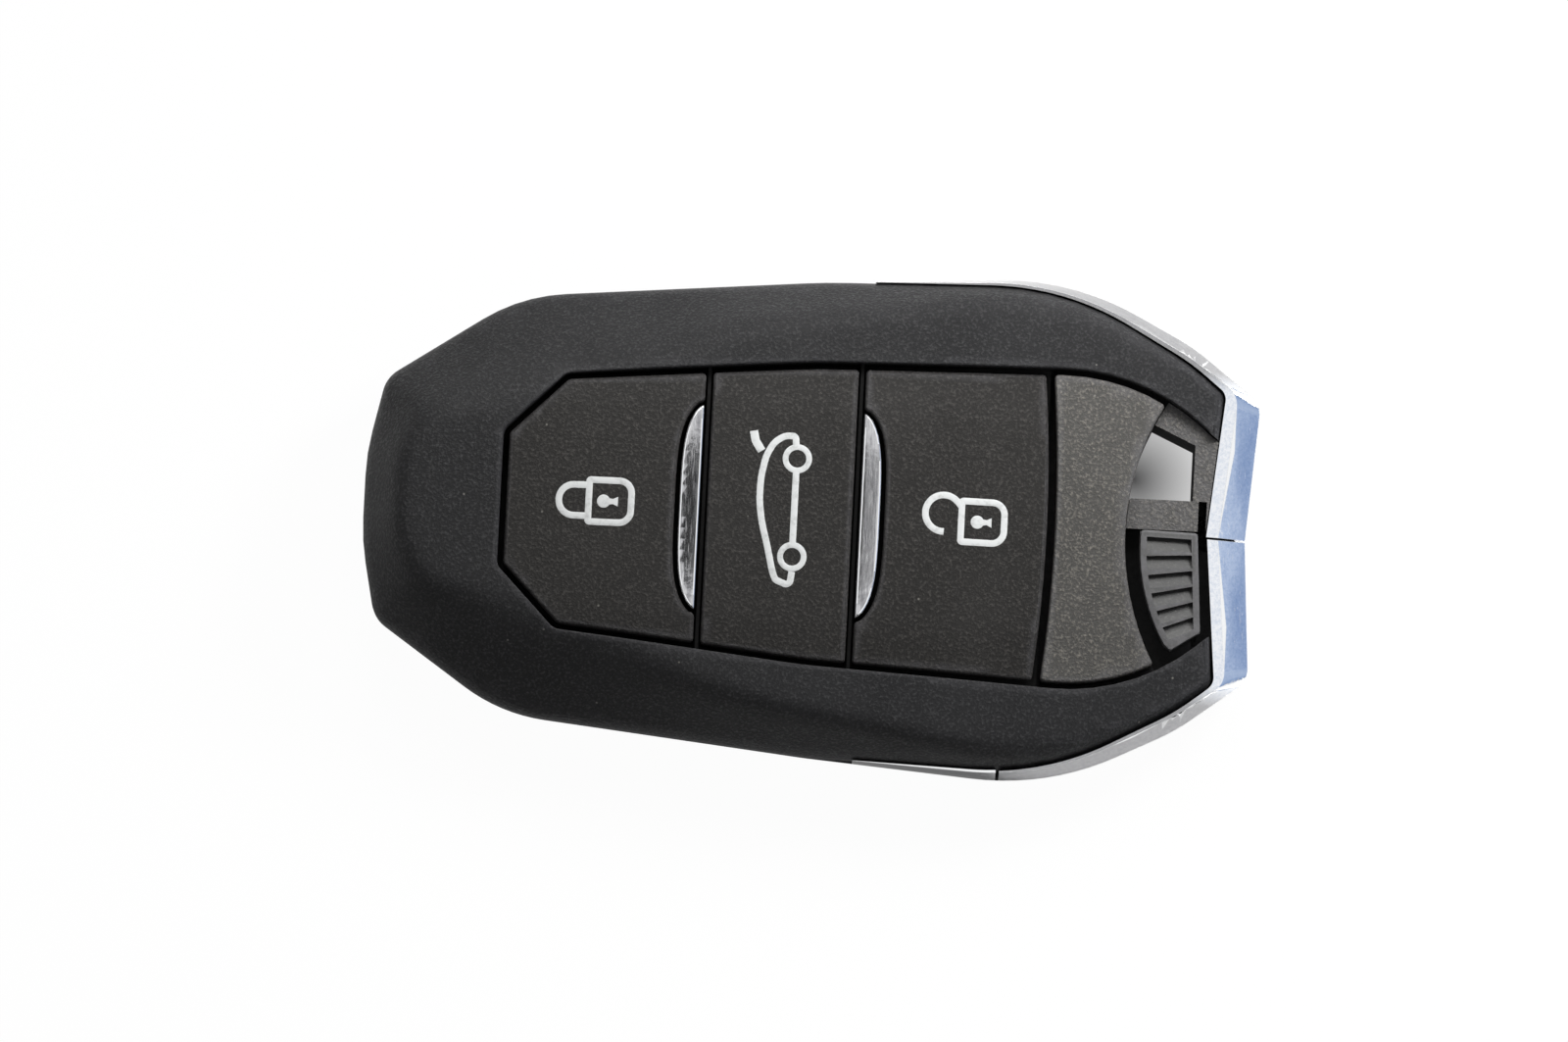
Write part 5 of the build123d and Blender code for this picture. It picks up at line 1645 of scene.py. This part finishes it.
@dataclass
class Symbols:
    """White printed signs on the caps: a shut padlock, a car with its boot open, an open one."""

    keypad: Keypad
    line: float = 0.6
    proud: float = 0.03
    lean: float = 0.55
    lock_shift: float = 0.2
    unlock_shift: float = -0.15
    step: float = 0.7
    turn: float = 12.0
    roundness: float = 0.999

    def stroke(self, corners: Sequence[Corner], closed: bool = False,
               width: float = 0.0) -> bpy.types.Object:
        """A flat printed line along a path, as its own mesh.

        Args:
            corners: Corners of the path as (x, y, rounding).
            closed: Whether the path is a loop.
            width: Width of the line, or 0 for the usual one.

        Returns:
            The line, centred on height 0.
        """
        radius = (width or self.line) / 2
        deselect()
        bpy.ops.curve.primitive_nurbs_path_add()
        line = bpy.context.object
        line.data.splines.clear()
        points = sampled(corners, closed, self.step, self.turn)
        spline = line.data.splines.new("POLY")
        spline.points.add(len(points) - 1)
        for point, (x, y) in zip(spline.points, points):
            point.co = (x, y, 0, 1)
        spline.use_cyclic_u = closed
        line.data.bevel_depth = radius
        line.data.bevel_resolution = 3
        line.data.use_fill_caps = True
        make_active(line)
        bpy.ops.object.convert(target="MESH")
        line = bpy.context.object
        line.data.transform(Matrix.Diagonal((1, 1, self.proud / radius, 1)))
        return line

    def ring(self, x: float, y: float, radius: float, width: float) -> bpy.types.Object:
        """A printed ring: a square path whose corners are rounded almost to a circle.

        Args:
            x: Its centre along the key.
            y: Its centre across the key.
            radius: Radius of the line's middle.
            width: Width of the line.

        Returns:
            The ring.
        """
        corners = [(x + i * radius, y + j * radius, radius * self.roundness)
                   for i, j in ((-1, -1), (1, -1), (1, 1), (-1, 1))]
        return self.stroke(corners, True, width)

    def dot(self, x: float, y: float, radius: float) -> bpy.types.Object:
        """A printed dot.

        Args:
            x: Its place along the key.
            y: Its place across the key.
            radius: Its radius.

        Returns:
            The dot.
        """
        deselect()
        bpy.ops.mesh.primitive_uv_sphere_add(segments=24, ring_count=8, radius=radius)
        dot = bpy.context.object
        dot.data.transform(Matrix.Diagonal((1, 1, self.proud / radius, 1)))
        dot.data.transform(Matrix.Translation((x, y, 0)))
        return dot

    def join(self, name: str, parts: Sequence[bpy.types.Object], body: Body,
             finishes: Finishes, shift: float = 0.0) -> None:
        """Joins printed lines into one sign and lays it on its cap.

        Args:
            name: The sign's name.
            parts: Its lines, dots and areas.
            body: The button that it rides on.
            finishes: The key's finishes.
            shift: How far it is moved along the key.
        """
        deselect()
        for part in parts:
            part.select_set(True)
        bpy.context.view_layer.objects.active = parts[0]
        bpy.ops.object.join()
        sign = bpy.context.object
        sign.name = name
        sign.data.transform(Matrix.Translation((shift, -self.lean, 0)))
        raise_onto(sign, self.keypad.cap_top, 0, -1)
        settle(sign, finishes.ink, body, smooth=60)

    def keyhole(self, x: float, y: float) -> list[bpy.types.Object]:
        """A keyhole: a dot with a slot that flares.

        Args:
            x: Its place along the key.
            y: Its place across the key.

        Returns:
            The dot and the slot.
        """
        upper = [(1.3, 0.44), (0.85, 0.23), (0.2, 0.34)]
        flare = upper + [(a, -b) for a, b in reversed(upper)]
        slot = prism("slot", [(x + a, y + b) for a, b in reversed(flare)], -self.proud, self.proud)
        return [self.dot(x, y, 0.6), slot]

    def lock_body(self, low: float, high: float, top: float, bottom: float) -> bpy.types.Object:
        """The padlock's body: square on the shackle's side, rounded on the other.

        Args:
            low: Its end on the shackle's side, along the key.
            high: Its other end.
            top: Its upper side, across the key.
            bottom: Its lower side.

        Returns:
            The closed line.
        """
        half = self.line / 2
        return self.stroke([(low + half, bottom + half, 0.15), (high - half, bottom + half, 1.1),
                            (high - half, top - half, 1.1), (low + half, top - half, 0.15)], True)

    def build(self, finishes: Finishes) -> None:
        """Prints the three signs.

        Args:
            finishes: The key's finishes.
        """
        shackle = [(-20.4, -0.8, 0.0), (-22.9, -0.8, 1.35), (-22.9, 2.0, 1.35), (-20.4, 2.0, 0.0)]
        shut = [self.lock_body(-20.5, -16.05, 2.8, -1.6), self.stroke(shackle)]
        self.join("lock_sign", shut + self.keyhole(-18.85, 0.6), Body.LOCK, finishes,
                  self.lock_shift)
        roof = [(-1.5, 6.6, 0.0), (-1.6, 7.4, 0.3), (-2.5, 7.4, 1.2), (-3.5, 6.8, 2.0),
                (-4.2, 5.4, 3.0), (-4.55, 3.5, 6.0), (-4.6, 1.5, 8.0), (-4.3, -0.5, 10.0),
                (-3.7, -2.6, 10.0), (-3.1, -5.0, 4.0), (-2.8, -5.7, 0.4), (-1.5, -6.2, 0.4),
                (-1.35, -4.9, 0.0)]
        boot_lid = [(-5.4, 7.7, 0.0), (-5.2, 6.8, 0.8), (-4.6, 5.9, 0.0)]
        car = [self.ring(-1.35, 5.35, 1.07, 0.53), self.ring(-1.4, -3.55, 1.07, 0.53),
               self.stroke([(-1.4, 4.2, 0.0), (-1.4, -2.4, 0.0)]), self.stroke(roof),
               self.stroke(boot_lid, width=0.75)]
        self.join("boot_sign", car, Body.BOOT, finishes)
        swung = bow((12.35, -0.48), (10.61, 1.18), (13.44, 2.35), 24)
        loose = [self.lock_body(13.6, 18.1, 2.7, -1.6),
                 self.stroke([(x, y, 0.0) for x, y in swung] + [(13.85, 1.9, 0.0)])]
        self.join("unlock_sign", loose + self.keyhole(15.35, 0.55), Body.UNLOCK, finishes,
                  self.unlock_shift)


@dataclass
class BrightTrim:
    """The plated band along the sides and the two halves of the bright end."""

    plan: Plan
    edge_round: float = 0.14
    facet_starts: float = 0.16
    facet_tolerance: float = 0.01
    tip: float = 0.42
    bevel_angle: float = 14.0
    smooth: float = 25.0

    def tip_outwards(self, piece: bpy.types.Object) -> None:
        """Slopes the narrow top facet down away from the shell, so that it catches light.

        Args:
            piece: The plated piece.
        """
        places = points_of(piece).astype(float)
        top = places[:, 2] > self.plan.band_top_z - self.facet_tolerance
        edge = sampled(mirrored(self.plan.shell_edge + [self.plan.end_dip]))
        out = np.clip(-depth_in(edge, places[top, :2]) - self.facet_starts, 0, None)
        places[top, 2] -= self.tip * out
        move_points(piece, places)

    def build(self, finishes: Finishes) -> None:
        """Copies the plated pieces' true form and softens its edges.

        Args:
            finishes: The key's finishes.
        """
        pieces = {"chrome_band": ("plated_band_and_end", Body.FOB),
                  "lower_side_trim": ("plated_side_trim", Body.FOB),
                  "key_head_trim": ("plated_key_head", Body.KEY)}
        for node, (name, body) in pieces.items():
            piece = node_copy(node, name)
            self.tip_outwards(piece)
            soften(piece, self.edge_round, 3, self.bevel_angle)
            settle(piece, finishes.chrome, body, [node], self.smooth)


@dataclass
class Chassis:
    """The inner frame, whose textured deck and window walls show at the bright end."""

    deck_z: float = 8.3
    deck_tolerance: float = 0.15
    edge_round: float = 0.1
    bevel_angle: float = 40.0
    smooth: float = 36.0

    def build(self, finishes: Finishes) -> None:
        """Copies the chassis's true form, softens its edges and textures its deck.

        Args:
            finishes: The key's finishes.
        """
        piece = node_copy("inner_frame", "moulded_chassis")
        soften(piece, self.edge_round, 2, self.bevel_angle)
        # The frame's near-black colour is painted shade for the gaps and walls where it shows
        settle(piece, finishes.frame, Body.FOB, ["inner_frame"], self.smooth)
        piece.data.materials.append(finishes.panel)
        for face in piece.data.polygons:
            if abs(face.center.z - self.deck_z * MM) < self.deck_tolerance * MM:
                face.material_index = 1


@dataclass
class BackCasing:
    """The rear shell that snaps off over the battery."""

    edge_round: float = 0.15
    bevel_angle: float = 35.0
    smooth: float = 36.0

    def build(self, finishes: Finishes) -> None:
        """Copies the rear shell's true form and softens its edges.

        Args:
            finishes: The key's finishes.
        """
        piece = node_copy("rear_cover", "soft_rear_casing")
        soften(piece, self.edge_round, 2, self.bevel_angle)
        settle(piece, finishes.shell, Body.BACK, ["rear_cover"], self.smooth)


class Inside:
    """Construction nodes whose own shape shows: they only get their finish."""

    def build(self, finishes: Finishes) -> None:
        """Gives each such node its material.

        Args:
            finishes: The key's finishes.
        """
        dressed = {
            finishes.frame: ["keypad_frame", "key_head"],
            finishes.rubber: ["keypad_mat"], finishes.blade: ["key_blade", "head_rivet"],
            finishes.board: ["circuit_board"],
            finishes.gold: ["tactile_switches", "loop_antenna", "battery_contact_negative",
                            "battery_contact_positive"],
            finishes.ceramic: ["chip_components"],
            finishes.epoxy: ["controller_chip", "radio_chip"], finishes.winding: ["wake_coil"],
            finishes.can: ["crystal", "battery"],
        }
        for material, nodes in dressed.items():
            for node in nodes:
                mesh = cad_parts[node].data
                mesh.materials.clear()
                mesh.materials.append(material)
                LOG.info("%s: dressed in %s", node, material.name)


@dataclass
class Studio:
    """Pale floor, soft lamps and the camera of the photograph."""

    lean: float = 4.8
    roll: float = 2.9
    lens: float = 300.0
    floor_size: float = 3.0
    floor_level: float = -0.0002
    seen_share: float = 0.97
    mirrored_share: float = 0.15
    soft_strength: float = 0.2
    # How much of the floor's glow is left, from the middle of the key ring window out to
    # shade_reach:
    # a painted shade that lets the paper's own shadow show, soft in the window and full under the
    # casing, with full glow beyond it
    shade_reach: float = 9.5
    shade_shares: tuple[Point, ...] = ((0.0, 0.05), (0.62, 0.64), (0.63, 0.0), (0.98, 0.0),
                                       (1.0, 1.0))
    ring_window: tuple[float, float, float] = (29.6, 5.8, 0.0)
    sensor: float = 36.0
    picture_width: float = 1600.0
    picture_height: float = 1063.0
    key_centre_px: Point = (825.6, 529.9)
    pixel: float = 0.08916
    aim_z: float = 7.0

    def camera(self) -> None:
        """Places the camera almost overhead, leaning and turned as in the photograph."""
        lean, roll = math.radians(self.lean), math.radians(self.roll)
        back = Vector((0, -math.sin(lean), math.cos(lean)))
        up = Vector((0, math.cos(lean), math.sin(lean)))
        across = Vector((1, 0, 0))
        right = across * math.cos(roll) + up * math.sin(roll)
        top = up * math.cos(roll) - across * math.sin(roll)
        off_x = (self.key_centre_px[0] - self.picture_width / 2) * self.pixel
        off_y = (self.picture_height / 2 - self.key_centre_px[1]) * self.pixel
        distance = self.lens / self.sensor * self.picture_width * self.pixel
        place = Vector((0, 0, self.aim_z)) + back * distance - right * off_x - top * off_y
        data = bpy.data.cameras.new("photo_camera")
        data.lens, data.sensor_width = self.lens, self.sensor
        data.clip_start, data.clip_end = 0.02, 20.0
        camera = bpy.data.objects.new("photo_camera", data)
        turn = Matrix((right, top, back)).transposed()
        camera.matrix_world = Matrix.Translation(place * MM) @ turn.to_4x4()
        bpy.context.scene.collection.objects.link(camera)
        bpy.context.scene.camera = camera

    def lamp(self, name: str, place: Sequence[float], size: float, power: float,
             colour: str = "#ffffff", reflected: bool = True) -> None:
        """A square soft lamp that faces the key.

        Args:
            name: The lamp's name.
            place: Where it stands, in metres.
            size: Length of its side, in metres.
            power: Its power, in watts.
            colour: Its colour.
            reflected: Whether shiny surfaces show it.
        """
        data = bpy.data.lights.new(name, "AREA")
        data.shape, data.size, data.energy = "SQUARE", size, power
        data.color = linear(colour)[:3]
        lamp = bpy.data.objects.new(name, data)
        lamp.location = place
        lamp.visible_camera = False
        lamp.visible_glossy = reflected
        lamp.rotation_euler = Vector(place).to_track_quat("Z", "Y").to_euler()
        bpy.context.scene.collection.objects.link(lamp)

    def floor(self) -> None:
        """A wide white floor that keeps a faint shadow, with a painted shade in the key ring window
        and under the casing round it.
        """
        deselect()
        bpy.ops.mesh.primitive_plane_add(size=self.floor_size, location=(0, 0, self.floor_level))
        floor = bpy.context.object
        floor.name = "floor"
        material, tree, place = new_material("white_paper_sweep")
        fibre = add(tree, "ShaderNodeTexNoise", {}, {"Vector": place, "Scale": per_mm(1.2)})
        bump = add(tree, "ShaderNodeBump", {}, {
            "Height": fibre.outputs["Fac"], "Strength": 0.1, "Distance": 0.01 * MM})
        paper = add(tree, "ShaderNodeBsdfDiffuse", {}, {
            "Color": linear("#f7f7f7"), "Normal": bump.outputs["Normal"]})
        glow = add(tree, "ShaderNodeEmission", {}, {"Color": (1, 1, 1, 1), "Strength": 1.0})
        path = add(tree, "ShaderNodeLightPath")
        seen = add(tree, "ShaderNodeMath", {"operation": "MAXIMUM"}, {
            0: path.outputs["Is Camera Ray"], 1: path.outputs["Is Transmission Ray"]})
        share = add(tree, "ShaderNodeMath", {"operation": "MULTIPLY"}, {
            0: seen.outputs["Value"], 1: self.seen_share})
        share = add(tree, "ShaderNodeMath", {"operation": "MULTIPLY_ADD"}, {
            0: path.outputs["Is Glossy Ray"], 1: self.mirrored_share, 2: share.outputs["Value"]})
        # Painted shade: the glow fades out near the key ring window and under the casing round it
        offset = add(tree, "ShaderNodeVectorMath", {"operation": "DISTANCE"}, {
            0: place, 1: tuple(v * MM for v in self.ring_window)})
        reach = add(tree, "ShaderNodeMath", {"operation": "DIVIDE"}, {
            0: offset.outputs["Value"], 1: self.shade_reach * MM})
        clear = add(tree, "ShaderNodeValToRGB", {}, {"Fac": reach.outputs["Value"]},
                    [(position, (grey, grey, grey, 1.0)) for position, grey in self.shade_shares])
        share = add(tree, "ShaderNodeMath", {"operation": "MULTIPLY"}, {
            0: share.outputs["Value"], 1: clear.outputs["Color"]})
        mix = add(tree, "ShaderNodeMixShader", {}, {
            0: share.outputs["Value"], 1: paper.outputs["BSDF"], 2: glow.outputs["Emission"]})
        add(tree, "ShaderNodeOutputMaterial", {}, {"Surface": mix.outputs["Shader"]})
        floor.data.materials.append(material)

    def card(self, name: str, place: Sequence[float], size: tuple[float, float], near: str,
             far: str, level: bool = False, start: float = 0.0) -> None:
        """A toned card that only shiny surfaces see, shaded from one end to the other.

        Args:
            name: The card's name.
            place: Its middle, in metres.
            size: Its width and height, in metres.
            near: Colour of its lower or left end.
            far: Colour of its other end.
            level: Whether it lies level overhead; otherwise it faces the key.
            start: Share of its length that keeps the first colour.
        """
        deselect()
        turn = (0.0, 0.0, 0.0) if level else Vector(place).to_track_quat("Z", "Y").to_euler()
        bpy.ops.mesh.primitive_plane_add(size=1.0, location=place, rotation=turn)
        card = bpy.context.object
        card.name = name
        card.scale = (*size, 1.0)
        material, tree, along = new_material(f"{name}_paper")
        way = add(tree, "ShaderNodeSeparateXYZ", {}, {"Vector": along})
        tone = add(tree, "ShaderNodeValToRGB", {}, {"Fac": add(
            tree, "ShaderNodeMath", {"operation": "ADD"},
            {0: way.outputs["Y" if size[1] < size[0] else "X"], 1: 0.5}).outputs["Value"]},
            [(start, linear(near)), (1.0, linear(far))])
        glow = add(tree, "ShaderNodeEmission", {}, {"Color": tone.outputs["Color"]})
        add(tree, "ShaderNodeOutputMaterial", {}, {"Surface": glow.outputs["Emission"]})
        card.data.materials.append(material)
        for ray in ("camera", "diffuse", "shadow", "transmission", "volume_scatter"):
            setattr(card, f"visible_{ray}", False)

    def world(self) -> None:
        """Soft light all round, and plain white where the camera or a mirror sees past."""
        world = bpy.data.worlds.new("white_studio")
        world.use_nodes = True
        bpy.context.scene.world = world
        tree = world.node_tree
        tree.nodes.clear()
        path = add(tree, "ShaderNodeLightPath")
        seen = add(tree, "ShaderNodeMath", {"operation": "MAXIMUM"}, {
            0: path.outputs["Is Camera Ray"], 1: path.outputs["Is Glossy Ray"]})
        seen = add(tree, "ShaderNodeMath", {"operation": "MAXIMUM"}, {
            0: seen.outputs["Value"], 1: path.outputs["Is Transmission Ray"]})
        soft = add(tree, "ShaderNodeBackground", {}, {
            "Color": linear("#fafafb"), "Strength": self.soft_strength})
        white = add(tree, "ShaderNodeBackground", {}, {"Color": (1, 1, 1, 1), "Strength": 1.0})
        mix = add(tree, "ShaderNodeMixShader", {}, {
            0: seen.outputs["Value"], 1: soft.outputs["Background"],
            2: white.outputs["Background"]})
        add(tree, "ShaderNodeOutputWorld", {}, {"Surface": mix.outputs["Shader"]})

    def build(self) -> None:
        """Sets up the floor, the lamps, the world and the camera."""
        scene = bpy.context.scene
        scene.view_settings.view_transform = "Standard"
        self.floor()
        self.world()
        self.lamp("window_light", (-0.05, 0.7, 0.7), 0.5, 4.9, "#fffefc")
        self.lamp("right_light", (0.15, 0.13, 0.16), 0.08, 0.75, reflected=False)
        self.card("camera_shade", (0.125, 0.115, 1.6), (0.5, 0.5), "#050505", "#cdcdcd",
                  level=True, start=0.3)
        self.card("front_flag", (-0.1, -1.0, 0.42), (2.6, 0.95), "#1c1c1d", "#121213")
        self.card("left_flag", (-1.2, 0.1, 0.45), (1.8, 0.8), "#4c4c4e", "#5e5e60")
        self.card("blue_screen", (1.0, 0.0, 0.22), (1.6, 0.55), "#7590bd", "#c9d7ee")
        self.camera()


def main() -> None:
    """Builds the key, piece by piece, and the studio round it."""
    logging.basicConfig(level=logging.INFO, format="%(name)s: %(message)s")
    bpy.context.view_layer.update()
    finishes = Finishes()
    keypad = Keypad(PLAN)
    Casing(PLAN).build(finishes)
    keypad.build(finishes)
    TailEnd(PLAN, keypad).build(finishes)
    Symbols(keypad).build(finishes)
    BrightTrim(PLAN).build(finishes)
    Chassis().build(finishes)
    BackCasing().build(finishes)
    Inside().build(finishes)
    Studio().build()
    bpy.context.view_layer.update()


if __name__ == "__main__":
    main()
